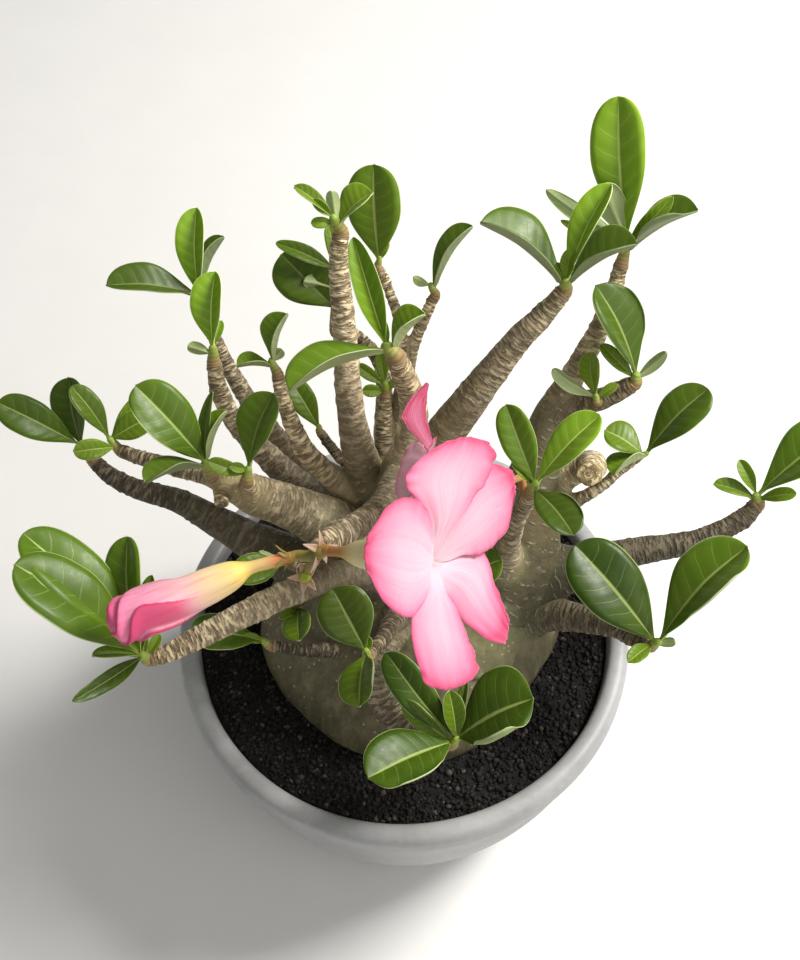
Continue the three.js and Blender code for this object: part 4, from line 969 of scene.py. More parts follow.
def make_wood():
    """One skin over the caudex and all branches, with its bark."""
    build = Build()
    caudex_mesh(build)
    for way in BRANCHES.values():
        path = spline(way, 10)
        build.add(*capped(tube_points(path[:, :3], path[:, 3] / 2, 28)))
    mesh = remeshed(build)
    n = len(mesh.vertices)
    points = from_mesh(mesh.vertices, "co", 3, np.float32).astype(float) / MM
    normal = from_mesh(mesh.vertices, "normal", 3, np.float32).astype(float)

    first, second, r1, r2, along, left, around, which = branch_fields(points)
    # fillets where bodies meet
    blend = 0.9 * np.minimum(r1, r2) + 1.5
    near = np.clip((blend - np.abs(second - first)) / blend, 0, 1)
    points = points + normal * (near**2 * blend / 5)[:, None]

    # average the points near a joint until the crease is gone
    edges = from_mesh(mesh.edges, "vertices", 2, np.int32)
    count = np.bincount(edges.ravel(), minlength=n).astype(float)[:, None]
    share = (0.1 + 0.85 * smooth(0.02, 0.35, near))[:, None]
    for _ in range(FILLET_ROUNDS):
        points = points + share * 0.6 * (neighbour_mean(points, edges, count) - points)

    # ridges at even steps along a branch, stronger on one side
    free = 1 - smooth(0.05, 0.6, near)
    limb = (which > 0).astype(float)
    worn = limb * np.clip(1.25 - r1 / 14, 0.12, 1)
    seed = hash01(which, np.full(n, 7)) * 40
    wobble = (0.5 * np.sin(around + 0.33 * along + seed) + 0.3 * np.sin(2 * around - 0.21 * along + seed)
              + 0.9 * noise3(points, 4, 1))
    pitch = 2.4 + 0.016 * np.clip(left, 0, 80)
    ring_at = left / pitch + 0.34 * wobble
    ring = np.floor(ring_at)
    phase = ring_at - ring
    strength = 0.3 + 0.7 * hash01(ring, which)
    arc = TAU * hash01(ring, which, np.full(n, 5))
    strength = strength * np.clip(0.5 + 0.6 * np.cos(around - arc), 0, 1)
    ridge = np.exp(-(((phase - 0.5) / 0.2) ** 2)) * strength
    # a crescent scar a little over a third of a turn on at each ring
    off = (around - GOLDEN_TURN * ring - seed + math.pi) % TAU - math.pi
    hollow = np.hypot(off * r1 / 1.6, (phase - 0.5) / 0.3)
    scar = np.exp(-((hollow - 0.75) ** 2) / 0.09) * smooth(0.35, 0.75, phase)
    scar = scar * (hash01(ring, which, np.full(n, 9)) > 0.3)
    lumps = noise3(points, 7, 2)
    rough = noise3(points, 1.7, 6)
    knots = np.clip(noise3(points, 3.4, 9) - 0.25, 0, 1)
    # the cut end under a shoot is smoother
    cut = limb * smooth(1.2, 0.0, left)
    scar, ridge = scar * (1 - cut), ridge * (1 - 0.6 * cut)
    height = worn * free * (0.42 * ridge + 0.3 * scar + 0.55 * knots - 0.14)
    height += (0.24 + 0.9 * (1 - limb)) * 0.5 * lumps + 0.12 * rough * limb * free
    # the buried foot stays plain
    points = points + normal * (height * smooth(80, 92, points[:, 2]))[:, None]
    mesh.vertices.foreach_set("co", (points * MM).astype(np.float32).ravel())

    youth = limb * np.exp(-np.clip(left, 0, None) / 8)
    trunk = np.where(limb > 0, smooth(4.5, 12, r1), 1.0)
    trunk = trunk + (1 - trunk) * 0.5 * smooth(0.3, 1, near) * smooth(6, 16, np.maximum(r1, r2))
    # fine rings lie about 1.1 mm apart at a tip and 2.5 mm apart 60 mm below it
    fine_rings = np.log1p(0.023 * np.clip(left + 6, 0, None) / 1.1) / 0.023
    ringed = limb * (1 - 0.85 * smooth(0.1, 0.8, near)) * np.clip(1.35 - r1 / 8.5, 0.12, 1)
    ringed = ringed * (1 - 0.6 * smooth(20, 65, left))
    rows = 100 + left / 3.4 + 0.3 * wobble
    olive = smooth(0.25, 0.9, near) * (0.5 + 0.5 * smooth(3, 9, r1))
    # each branch's own tone together with painted light and painted shade
    ends = np.array([(1, 1)] + [BRANCH_TONE_AND_PAINTED_LIGHT.get(name, (1, 1)) for name in BRANCHES], float)
    share = smooth(0.25, 0.75, along / np.maximum(along + left, 1))
    light = lerp(ends[which, 0], ends[which, 1], share)[:, None]
    for _ in range(LIGHT_ROUNDS):
        light = neighbour_mean(light, edges, count)
    bark = [ridge * free * limb, youth, trunk, scar * worn * free]
    colour_points(mesh, "bark", np.stack(bark, axis=1))
    colour_points(mesh, "rings", np.stack([fine_rings, ringed, olive, rows], axis=1))
    colour_points(mesh, "shade", np.repeat(light, 4, axis=1))
    mesh.polygons.foreach_set("use_smooth", [True] * len(mesh.polygons))
    mesh.materials.clear()
    mesh.materials.append(bark_material())
    mesh.update()
    mesh.name = "caudex_with_branches"
    return place(linked("caudex_with_branches", mesh), "bark", "caudex_and_branches")


# ---------------------------------------------------------------- leaves

ACROSS = np.array([-1, -0.975, -0.94, -0.86, -0.74, -0.6, -0.45, -0.3, -0.17, -0.07, 0,
                   0.07, 0.17, 0.3, 0.45, 0.6, 0.74, 0.86, 0.94, 0.975, 1])
ALONG = np.concatenate([np.linspace(0, 0.9, 26), [0.925, 0.95, 0.97, 0.985, 0.994, 1.0]])


def blade_spread(t, widest, tip, base):
    """Share of the half-width along a blade."""
    rising = np.sin(0.5 * math.pi * np.clip(t / widest, 0, 1)) ** base
    falling = np.sqrt(np.clip(1 - np.clip((t - widest) / (1 - widest), 0, 1) ** tip, 0, 1))
    return np.where(t < widest, rising, falling)


WINDOW = unit([0.65, 0.2, 0.73])  # the way to the light
SLIM = 0.32  # leaves narrower than this share of their length are of the slim kind


def make_blade(build, root, heading, rise, roll, length, width, fold, chance, youth, curl=0.0, light=1.0):
    """One leaf; curl above 0 rolls its right margin inwards, below 0 its left margin."""
    h, e, r = (math.radians(v) for v in (heading, rise, roll))
    forward = arr(math.cos(h) * math.cos(e), math.sin(h) * math.cos(e), math.sin(e))
    level = unit(np.cross(forward, arr(0, 0, 1)))
    over = np.cross(level, forward)
    right = level * math.cos(r) + over * math.sin(r)
    up = np.cross(right, forward)
    slim = width / length
    half = max(width, 4) / 2
    t = ALONG[:, None]
    u = ACROSS[None, :]
    a = np.abs(u)
    if slim < SLIM:
        spread = blade_spread(t, 0.55, 2.1, 1.1)
    else:
        spread = blade_spread(t, 0.6 + 0.05 * chance, 2.9, 1.2 + 0.3 * chance)
    stalk = 0.7 * np.exp(-((t / 0.09) ** 2)) + 0.1
    across = np.maximum(half * spread, stalk)
    f = math.radians(fold)
    flat = 1.0 if fold < 28 else 0.5
    lift = math.sin(f) * (a**1.15) + 0.07 * np.sin(math.pi * a) * flat
    lift = lift - 0.10 * smooth(0.85, 1.0, a) * flat
    reach = a * math.cos(f)
    if curl:
        # the margin rolls up and over in an arc
        rolled = np.where(np.sign(u) == np.sign(curl), 1.0, 0.0) * smooth(0.12, 0.4, t) * smooth(1.0, 0.8, t)
        beyond = np.clip((a - 0.8) / 0.2, 0, 1) * rolled
        angle = abs(curl) * 2.6 * beyond
        reach = reach - rolled * (np.clip(a - 0.8, 0, 1) * math.cos(f) - 0.075 * np.sin(angle))
        lift = lift + 0.11 * (1 - np.cos(angle)) * rolled + 0.08 * beyond * flat
    wave = 0.010 * length * a**2 * np.sin(TAU * (1.1 * t + chance) + 1.3 * np.sign(u))
    sag = 0.03 * length * smooth(0.55, 1.0, t) * (0.6 + 0.9 * chance)
    droop = 4 * 0.05 * length * t * (1 - t) - sag
    side = right * (across * reach * np.sign(u))[..., None]
    height = droop + across * lift + wave * smooth(0.1, 0.5, t)
    top = root + forward * (length * t * np.ones_like(u))[..., None] + side + up * height[..., None]
    thick = 0.26 + 0.3 * (1 - a**2) + 0.8 * np.exp(-((a / 0.09) ** 2)) * (1 - 0.75 * t)
    thick = thick + 0.6 * np.exp(-((t / 0.09) ** 2)) * (1 - a)
    thick = np.minimum(thick, 0.25 + across * 1.1)
    if slim < SLIM or length < 14:
        thick = thick * 0.75
    midrib = len(ACROSS) // 2
    points, faces, face = sheet(top, up, thick[..., None], slice(midrib, midrib + 1))
    # painted light and shade: leaves turned away from the window are made a paler green, and high ones
    #     paler than low ones, which also follows leaf age
    painted_light_tone = float(np.clip(0.9 * smooth(135, 225, root[2]) + 0.6 * (0.5 - face.dot(WINDOW)), 0, 1.3))
    colour = np.zeros((2, *top.shape[:2], 4))
    colour[..., 0] = (u + 1) / 2
    colour[..., 1] = t
    colour[..., 2] = chance
    colour[1, ..., 3] = 1
    build.add(points, faces, leaf=colour.reshape(-1, 4), kind=(youth, painted_light_tone, light, 0))


# Leaves with one margin rolled in: (tuft, number of the leaf) -> amount, above 0 on the right.
CURLED = {
    ("front_drop", 0): -0.8, ("front_drop", 1): 1.0, ("front_mid", 1): -0.9, ("low_right", 1): 0.7,
    ("front_right", 3): -0.7, ("right_mid", 0): 0.6, ("left_trunk", 0): -0.5, ("far_right", 4): 0.7,
}


# Leaves that are lighter or darker than the rest, by painted light above 1 and painted shade below 1: (tuft,
# number of the leaf) -> share.
LEAF_PAINTED_LIGHT = {
    ("left_back", 0): 1.9, ("left_behind", 0): 0.55, ("left_behind", 1): 1.7, ("left_behind", 2): 0.5,
    ("behind_upright", 0): 0.6, ("behind_upright", 1): 0.6, ("back_twig", 0): 0.7, ("centre", 1): 1.4,
    ("back_right", 0): 0.75, ("back_right", 1): 1.7, ("back_right", 2): 0.5, ("far_right", 0): 1.55,
    ("far_right", 1): 0.85, ("far_right", 4): 0.6, ("right_mid", 0): 0.7, ("front_right", 1): 1.55,
    ("front_right", 3): 0.45, ("right_twig", 0): 0.65, ("long_right", 3): 1.3, ("low_right", 0): 0.75,
    ("left_trunk", 2): 0.6, ("left_trunk", 3): 0.7, ("left_knob", 0): 0.75, ("left_thin", 0): 0.65,
    ("left_low", 0): 0.85, ("left_low", 1): 0.6, ("front_left", 1): 1.15, ("front_left", 4): 0.7,
    ("front_mid", 0): 0.7, ("front_drop", 0): 0.95, ("front_drop", 1): 0.8, ("front_drop", 5): 0.6,
}


def make_shoot(name, leaf, shoot, index):
    """A tuft: the ringed green tip on a branch's end and its leaves."""
    top, leaves = SHOOTS[name]
    tip, direction, radius = branch_end(name)
    foot = tip + direction * 0.3
    top = np.asarray(top, float)
    axis = top - foot
    end = top + unit(axis) * 1.2
    build = Build("leaf", "kind")
    # the stem of the shoot, ringed with the scars of fallen leaves
    sides = 18
    way = spline([tip - direction * 1.2, foot + direction, lerp(foot, end, 0.6), end], 12)
    run = np.linspace(0, 1, len(way))
    profile = radius * np.interp(run, [0, 0.12, 0.35, 0.6, 0.9, 1], [0.96, 0.98, 0.84, 0.66, 0.5, 0.16])
    rings = 0.5 + 0.5 * np.sin(TAU * run * max(2, round(run_along(way)[-1] / 1.3)) + index)
    profile = profile * (1 + 0.09 * rings * (1 - run))
    body, faces = capped(tube_points(way, profile, sides))
    colour = np.zeros((len(body), 4))
    colour[:-2, 0] = np.repeat(run, sides)
    colour[-2:, 0] = (0, 1)
    colour[:-2, 1] = np.repeat((1 - rings) ** 3 * (1 - run), sides)
    build.add(body, faces, slot=1, leaf=colour)
    for k, (place_at, *pose) in enumerate(leaves):
        root = foot + axis * max(place_at, 0.35)
        chance = float(hash01(np.array([index]), np.array([k + 3]))[0])
        youth = float(np.clip(1.15 - pose[3] / 24, 0, 0.85))
        make_blade(build, root, *pose[:6], chance, youth, CURLED.get((name, k), 0.0),
                   LEAF_PAINTED_LIGHT.get((name, k), 1.0))
    return place(build.object("tuft_" + name, [leaf, shoot]), "leaf", "leaves_" + name)


# ---------------------------------------------------------------- flowers

CREST = arr(0, 0.84, 0.55)  # which way is up for a bloom's face


class Bloom:
    """A bloom's frame; its face looks along `axis`, by default straight on from its tube."""

    def __init__(self, foot, throat, scale, facing=None):
        self.foot, self.throat, self.scale = arr(*foot), arr(*throat), scale
        line = self.throat - self.foot
        self.length = np.linalg.norm(line)
        self.axis = unit(facing if facing else line)
        self.over = unit(CREST - self.axis * CREST.dot(self.axis))
        self.side = np.cross(self.over, self.axis)


FRONT = Bloom([-23, -37, 221], [8, -52, 240], 1.0)
BACK = Bloom([41, 1, 203], [11, -7, 222], 0.8, (-0.8, 0.3, 0.1))

# A petal is its pose, (turn, flare, twist) in degrees and how much deeper its pink is where that
# differs, and rows from foot to tip in its own plane: left x, left y, left lift, right x,
# right y, right lift, bow of the row, lift of the middle. Its first row lies near the axis.
FOOT_ROW = [-1, -4.6, -0.9, 1, -4.6, -0.9, 0, -0.9]
FRONT_PETALS = {
    "a": ((178, 84, 0), [
        [-1.2, -4.6, -0.2, 1.2, -4.6, -0.2, 0, 0.2], [-3.4, -1.2, 1.6, 3.6, -1.6, 1.6, 0, 1.2],
        [-7, 4.5, 4.6, 7.5, 3.5, 4.6, -0.5, 3.4], [-12.5, 10.5, 5.6, 14, 8.5, 5.6, 0, 4.2],
        [-15, 16, 5, 17.8, 14, 5.2, 0, 4], [-13.5, 21, 3.6, 18.6, 20, 4, 1, 3.2],
        [-9, 27, 1.8, 15.5, 26.5, 2.4, 1.2, 1.8], [-3, 31, 0.4, 9, 31.5, 0.8, 1.8, 0.6]]),
    "b": ((84, 78, 5), [
        [-1, -4.6, -0.8, 1, -4.6, -0.8, 0, -0.8], [-2.8, 0, 0, 2.8, 0, 0.4, 0, 0.2],
        [-6, 6, 1, 3.5, 7.5, 2.4, 0, 1.8],
        [-13, 11.5, 1, 8.5, 14.5, 2.2, 0, 2], [-19.5, 15.5, 0.6, 11.5, 19.5, 2, 0.5, 1.6],
        [-20.5, 19.5, 0.5, 13.4, 24.5, 1.6, 1, 1.2], [-16, 24.5, 0.3, 15, 28.8, 1, 1.6, 0.7],
        [-10, 29, 0, 12, 32.6, 0.5, 2.2, 0.2]]),
    "c": ((34, 76, 5), [
        FOOT_ROW, [-2.8, 0, -0.2, 3.6, 0, 0.3, 0, 0],
        [-6, 6, 0, 5.2, 5.4, 0.7, 0, 1.2],
        [-11, 12, -0.4, 8, 9.6, 0.8, 0.3, 1.5], [-14, 18, -0.6, 9.6, 15, 0.6, 0.5, 1.2],
        [-14.5, 24, -0.6, 9.4, 20, 0.6, 1, 0.9], [-12, 29.5, -0.4, 8.6, 25, 0.3, 1.4, 0.5],
        [-7.5, 34, 0, 1, 32, 0, 1.2, 0]]),
    "d": ((-40, 78, 0), [
        FOOT_ROW, [-4.6, 0, -0.2, 3.2, 0, 0, 0, 0],
        [-8.2, 2.2, -0.4, 5, 4.5, 0, 0, 1.2],
        [-12.2, 5.2, -0.5, 5.6, 7, 0, 0.6, 1.5], [-15.2, 10.6, -0.2, 6.8, 11.5, 0, 0.5, 1.4],
        [-14.2, 15.5, -0.2, 7.5, 16.5, 0.2, 0, 1.1], [-10, 20.5, 0, 6.9, 22, 0.2, 0, 0.8],
        [-7.5, 26, 0.2, 6, 28, 0, 0.2, 0.4], [-4, 32, 0, 3, 34.7, 0, 0.8, 0]]),
    "e": ((-95, 75, -12), [
        FOOT_ROW, [-2.6, 0, 0, 3.2, 0, 0.3, 0, 0.2],
        [-3.8, 5, 0.3, 5.5, 5, 0.4, 0, 1.4],
        [-7, 10.5, 0.6, 10.5, 10.5, 0.8, 0.4, 1.8], [-8.8, 15.5, 0.5, 12.3, 15.5, 0.9, 0.6, 1.7],
        [-10.6, 20.5, 0.3, 12.3, 20.5, 0.8, 1.2, 1.3], [-12.4, 25.4, 0, 11, 26, 0.5, 2.2, 0.8],
        [-13.2, 28.2, -0.3, 9.6, 30.6, 0, 3.8, 0.2]]),
}
PLAIN_PETAL = [
    FOOT_ROW, [-2.8, 0, 0, 2.8, 0, 0, 0, 0],
    [-5, 5, 1, 5, 5, 1.4, 0, 1], [-8, 10, 1.2, 8.5, 11, 1.8, 0.5, 1.2],
    [-8.5, 15, 1, 9, 16, 1.8, 0.8, 1], [-6, 20, 0.3, 6, 20.5, 0.9, 1.6, 0.4]]
STANDING_PETAL = [
    FOOT_ROW, [-2.4, 0, 0, 3, 0, 0, 0, 0],
    [-1, 5, 0.5, 7, 5, 1.4, 0, 1.2], [0.5, 11, 0.8, 14, 10, 2.4, 0, 1.6],
    [1.5, 16, 1, 18, 15, 2.6, 0, 1.6], [0.5, 21, 1, 14.5, 20.5, 2, 0, 1.3],
    [-1, 25, 0.6, 8, 25, 1, 0, 0.8], [-1.6, 29, 0, 1, 29.5, 0, 0.2, 0.1]]
FACING_PETAL = [
    FOOT_ROW, [-4.4, 0, 0, 3.6, 0, 0, 0, 0],
    [-10, 3, 0.8, 6.5, 3.4, 1, 0, 0.8], [-15.5, 6.4, 1, 8.5, 7.4, 1.2, 0.4, 1],
    [-16.5, 10, 0.8, 8.6, 11, 1.2, 0.6, 0.8], [-13, 13.6, 0.3, 5, 14, 0.7, 1.2, 0.3]]
# the deeper pink of the standing petal a is painted shade, the paler pink of the facing petal e painted light
BACK_PETALS = {
    "a": ((95, 64, 27, 0.45), STANDING_PETAL), "b": ((10, 88, 8), PLAIN_PETAL[:-1]),
    "c": ((-50, 90, 8), PLAIN_PETAL[:-1]), "d": ((-110, 88, 8), PLAIN_PETAL[:-1]),
    "e": ((192, 33, 6, -0.35), FACING_PETAL),
}
PETAL_ACROSS = np.concatenate([[-1, -0.985, -0.95], np.linspace(-0.88, 0.88, 29), [0.95, 0.985, 1]])


def make_petal(build, bloom, pose, rows, chance):
    turn, flare, twist = (math.radians(v) for v in pose[:3])
    # deep above 0 lays painted shade over the pink, below 0 painted light
    deep = sum(pose[3:])
    out = bloom.side * math.cos(turn) + bloom.over * math.sin(turn)
    forward = out * math.sin(flare) + bloom.axis * math.cos(flare)
    side = np.cross(out, bloom.axis)
    lifted = np.cross(side, forward)
    right = side * math.cos(twist) + lifted * math.sin(twist)
    up = np.cross(right, forward)
    root = bloom.throat + bloom.axis * 1.9 * bloom.scale + out * 4.6 * bloom.scale
    fine = spline(rows, 7)
    t = np.linspace(0, 1, len(fine))[:, None]
    u = PETAL_ACROSS[None, :]
    a = np.abs(u)
    lx, ly, lz, rx, ry, rz, bow, mid = (fine[:, k][:, None] for k in range(8))
    share = (u + 1) / 2
    x = lerp(lx, rx, share)
    y = lerp(ly, ry, share) + bow * (1 - u**2) ** 0.8
    z = mid * (1 - u**2) + np.where(u < 0, lz, rz) * u**2
    # fine uneven ripples along the margin and shallow pleats down the petal
    frill = smooth(0.6, 1.0, a) * smooth(0.25, 0.6, t)
    flat = np.stack([(t * 40 + 0 * u).ravel(), (np.where(u < 0, 50, 90) + 0 * t).ravel(),
                     np.full(t.size * u.size, 31 * chance)], axis=1)
    ripple = noise3(flat, 2.3, 21).reshape(x.shape)
    tremor = noise3(flat, 0.9, 22).reshape(x.shape)
    z = z + frill * (0.55 * ripple + 0.2 * tremor)
    x = x + np.sign(u) * smooth(0.85, 1.0, a) * smooth(0.2, 0.5, t) * (0.25 * ripple + 0.12 * tremor)
    rim = smooth(0.75, 1.0, t)
    across = np.stack([(share * 30 + 0 * t).ravel(), np.full(x.size, 7.0),
                       np.full(x.size, 17 * chance)], axis=1)
    z = z + rim * 0.5 * noise3(across, 3.2, 23).reshape(x.shape)
    y = y + smooth(0.9, 1.0, t) * 0.35 * noise3(across, 1.6, 24).reshape(x.shape)
    z = z + 0.10 * np.sin(TAU * 4.4 * share + chance) * smooth(0.1, 0.4, t)
    s = bloom.scale
    top = root + right * (x * s)[..., None] + forward * (y * s)[..., None] + up * (z * s)[..., None]
    thick = 0.22 + 0.3 * (1 - a**2) * (1 - 0.6 * t)
    points, faces, _ = sheet(top, up, thick[..., None])
    # the pink deepens towards the sides and the tip
    colour = np.zeros((2, *top.shape[:2], 4))
    half = np.maximum(rx - lx, 1) / 2
    from_side = (1 - a) * half
    from_tip = (1 - t) * 32 + 2.5 * u**2
    near = np.exp(-from_side / (5.5 * s * s)) * 0.85 + np.exp(-from_tip / (7 * s * s))
    line = np.exp(-np.minimum(from_side, from_tip) / 0.5)
    colour[..., 0] = np.clip((near * 0.85 + 0.25 * line) * smooth(0.12, 0.5, t) + deep, 0, 1)
    colour[..., 1] = t
    colour[..., 2] = share
    colour[1, ..., 3] = 1
    build.add(points, faces, petal=colour.reshape(-1, 4))


def turned_rings(centre, axis, side, over, profile, sides):
    """Rings about an axis from (distance along it, radius) pairs."""
    turn = angles(sides)[:, None]
    around = side * np.cos(turn) + over * np.sin(turn)
    return np.array([centre + axis * along + around * radius for along, radius in profile])


def make_bloom(name, bloom, petals, petal_stuff):
    """The petals of a bloom and the lining of its throat."""
    build = Build("petal")
    for k, (pose, rows) in enumerate(petals.values()):
        make_petal(build, bloom, pose, rows, 0.17 + 0.19 * k)
    s = bloom.scale
    inside = spline([[-6.5 * s, 0.9 * s], [-3.5 * s, 3.2 * s], [-1.4 * s, 4.2 * s],
                     [-0.4 * s, 4.5 * s], [0.3 * s, 4.8 * s]], 4)
    outside = inside[::-1] + np.array([-0.25, 0.45]) * s
    points, faces = capped(turned_rings(bloom.throat, bloom.axis, bloom.side, bloom.over,
                                        np.vstack([outside, inside]), 60))
    build.add(points, [f[::-1] for f in faces], petal=(0.8, 0.3, 0.5, 0))
    return place(build.object(name + "_open_petals", [petal_stuff]), "petal", name + "_petals")


# (share of the tube's length, its radius)
TUBE_PROFILE = [(0, 1.6), (0.1, 1.6), (0.18, 1.75), (0.25, 2.3), (0.32, 3.2), (0.4, 4.2), (0.55, 5.2),
                (0.76, 6.0), (0.9, 6.7), (1, 7.2)]


def tube_colours(run, sides):
    """Point colours of rings: red is how far along each one is, green the place around it."""
    colour = np.zeros((len(run), sides, 4))
    colour[..., 0] = run[:, None]
    colour[..., 1] = np.arange(sides) / sides
    return colour


def make_bloom_tube(name, bloom, stuff, stalk=None):
    """The funnel from the calyx to the petals, hollow at its mouth, on its own stalk if it has one."""
    build = Build("tube")
    bend = spline([bloom.foot, lerp(bloom.foot, bloom.throat - bloom.axis * bloom.length * 0.5, 0.5),
                   bloom.throat - bloom.axis * bloom.length * 0.4, bloom.throat], 15)
    share = np.linspace(0, 1, len(bend))
    fine = spline(TUBE_PROFILE, 6)
    radii = np.interp(share, fine[:, 0], fine[:, 1]) * bloom.scale
    sides = 40
    ribs = 0.03 * smooth(0.2, 0.6, share)[:, None] * np.cos(5 * angles(sides))
    rings = tube_points(bend, radii[:, None] * (1 + ribs), sides)
    mouth = [tube_points(np.array([bend[i], bend[i + 1]]), np.array([r, r]) * bloom.scale, sides)[:1]
             for i, r in ((len(bend) - 3, 6.4), (len(bend) - 12, 3.6), (len(bend) - 20, 1.2))]
    rings = np.concatenate([rings, *mouth])
    colour = tube_colours(np.linspace(0, 1, len(rings)), sides).reshape(-1, 4)
    build.add(*capped(rings), tube=np.vstack([colour, [(0, 0, 0, 0), (1, 0, 0, 0)]]))
    if stalk is not None:
        start = unit(bend[1] - bend[0])
        way = spline([stalk, lerp(arr(*stalk), bloom.foot, 0.6), bloom.foot + start * 1.2], 6)
        build.add(*capped(tube_points(way, np.full(len(way), 1.36), 16)), tube=(0.02, 0.3, 0, 0))
    return place(build.object(name + "_funnel", [stuff]), "flower_tube", name + "_tube")


# Waypoints [x, y, z, diameter] of the bud from its calyx to the blunt end of its rolled petals.
BUD_PATH = [
    [-35, -36, 216, 3.6], [-41, -37, 215, 4.0], [-48.3, -38.4, 213.8, 4.4], [-53.5, -40.2, 213, 9],
    [-60, -43, 212.3, 11.2], [-67.4, -46.2, 211.5, 12.4], [-74.6, -49, 210.6, 15],
    [-83.7, -52, 209.2, 15.7], [-88.4, -53.8, 208.4, 14.4], [-90.5, -54.6, 208.1, 12.8],
    [-91.5, -55, 208, 8.8], [-91.9, -55.1, 207.9, 2.0],
]
TOWARDS_FRONT = arr(0, -0.55, 0.835)  # the way from the bud to the camera
# (share of the bud's length, angle of the free edge that shows in front); angles rise upwards
BUD_EDGE = [(0.45, -14), (0.586, -7), (0.7, 9), (0.797, 19), (0.845, 8), (0.884, -12), (0.927, -50),
            (0.96, -80), (1.0, -105)]
# how deep the pink of each of the five rolled petals is, upwards from the one below that edge
BUD_DEPTH = [1.0, 0.08, 0.4, 0.8, 0.9]


def make_bud(stuff):
    """The bud: a plain lower tube that passes into five petals rolled over each other."""
    fine = spline(BUD_PATH, 14)
    centres, radii = fine[:, :3], fine[:, 3] / 2
    run = run_along(centres)
    run = run / run[-1]
    sides = 200
    tangent = np.gradient(centres, axis=0)
    tangent /= np.linalg.norm(tangent, axis=1, keepdims=True)
    front = TOWARDS_FRONT - tangent * (tangent @ TOWARDS_FRONT)[:, None]
    front /= np.linalg.norm(front, axis=1, keepdims=True)
    upward = np.cross(tangent, front)
    turn = angles(sides)
    rolled = smooth(0.5, 0.66, run)[:, None]
    edge_at = np.radians(np.interp(run, *spline(BUD_EDGE, 6).T))[:, None]
    place_in = (turn[None, :] - edge_at) / (TAU / 5)
    petal = np.floor(place_in)
    within = place_in - petal
    number = np.mod(petal + 1, 5).astype(int)
    depth = np.array(BUD_DEPTH)[number]
    # each petal lies over the next one up, with its free edge lifted
    lift = smooth(0.25, 1.0, within) * 0.95 * np.minimum(1, radii[:, None] / 4) - 0.35
    ribs = 0.04 * np.cos(5 * turn[None, :] + 0.6) * (1 - rolled) * smooth(0.25, 0.4, run)[:, None]
    shape = radii[:, None] * (1 + ribs) + rolled * lift
    rings = (centres[:, None] + front[:, None] * (np.cos(turn)[None, :, None] * shape[..., None])
             + upward[:, None] * (np.sin(turn)[None, :, None] * shape[..., None]))
    colour = tube_colours(run, sides)
    line = smooth(0.9, 0.985, within)
    deep = depth * smooth(0.0, 0.2, within) + 0.25 * smooth(0.6, 1.0, within)
    tip = smooth(0.86, 1.0, run)[:, None]
    colour[..., 2] = np.clip(rolled * (0.95 * np.clip(deep, 0, 1) + 0.6 * line) * (0.95 + 0.05 * tip)
                             + 0.22 * tip, 0, 1)
    build = Build("tube")
    build.add(*capped(rings), tube=np.vstack([colour.reshape(-1, 4), colour[0].mean(0), colour[-1].mean(0)]))
    return place(build.object("rolled_bud", [stuff]), "petal", "bud_tube", "bud_tip")


def sepal_points(base, axis, out, length, width, flare):
    """A small pointed sepal growing from base, leaning from the axis by flare degrees."""
    f = math.radians(flare)
    forward = out * math.sin(f) + axis * math.cos(f)
    right = unit(np.cross(out, axis))
    up = np.cross(right, forward)
    t = np.linspace(0, 1, 14)[:, None]
    u = np.linspace(-1, 1, 9)[None, :]
    spread = (1 - t**1.3) * (0.85 + 0.4 * np.sin(math.pi * t)) * width / 2
    curl = 0.22 * length * t**2.2
    top = (base + forward * (length * t * np.ones_like(u))[..., None] + right * (spread * u)[..., None]
           + up * (0.35 * spread * u**2 - curl)[..., None])
    points, faces, _ = sheet(top, up, 0.4)
    colour = np.zeros((2, *top.shape[:2], 4))
    colour[..., 0] = t
    colour[..., 1] = (u + 1) / 6
    return points, faces, colour.reshape(-1, 4)


def directions_about(axis):
    """Two directions across an axis."""
    side = unit(np.cross(axis, arr(0.1, 0.2, 1)))
    return side, np.cross(axis, side)


def sepal_star(build, base, axis, length, width, flare, start, slot=1):
    """Five uneven sepals about an axis, brown or, in slot 0, of the stalk's green."""
    side, third = directions_about(axis)
    for k in range(5):
        turn = start + TAU * k / 5 + 0.22 * math.sin(2.3 * k + start)
        out = side * math.cos(turn) + third * math.sin(turn)
        points, faces, colour = sepal_points(
            base + out * 0.9, axis, out, length * (1 + 0.2 * math.sin(3 * k + 2 * start)), width,
            flare + 12 * math.sin(1.7 * k + start))
        if slot == 0:
            colour[:, 0] *= 0.4
        build.add(points, faces, slot=slot, tube=colour)


SPENT = arr(-31, -40, 210)
SPENT_FACING = unit(arr(-0.1, -0.6, 0.8))


BUD_FOOT = arr(-35, -36, 216)
BUD_AXIS = unit(arr(-6, -1, -1))


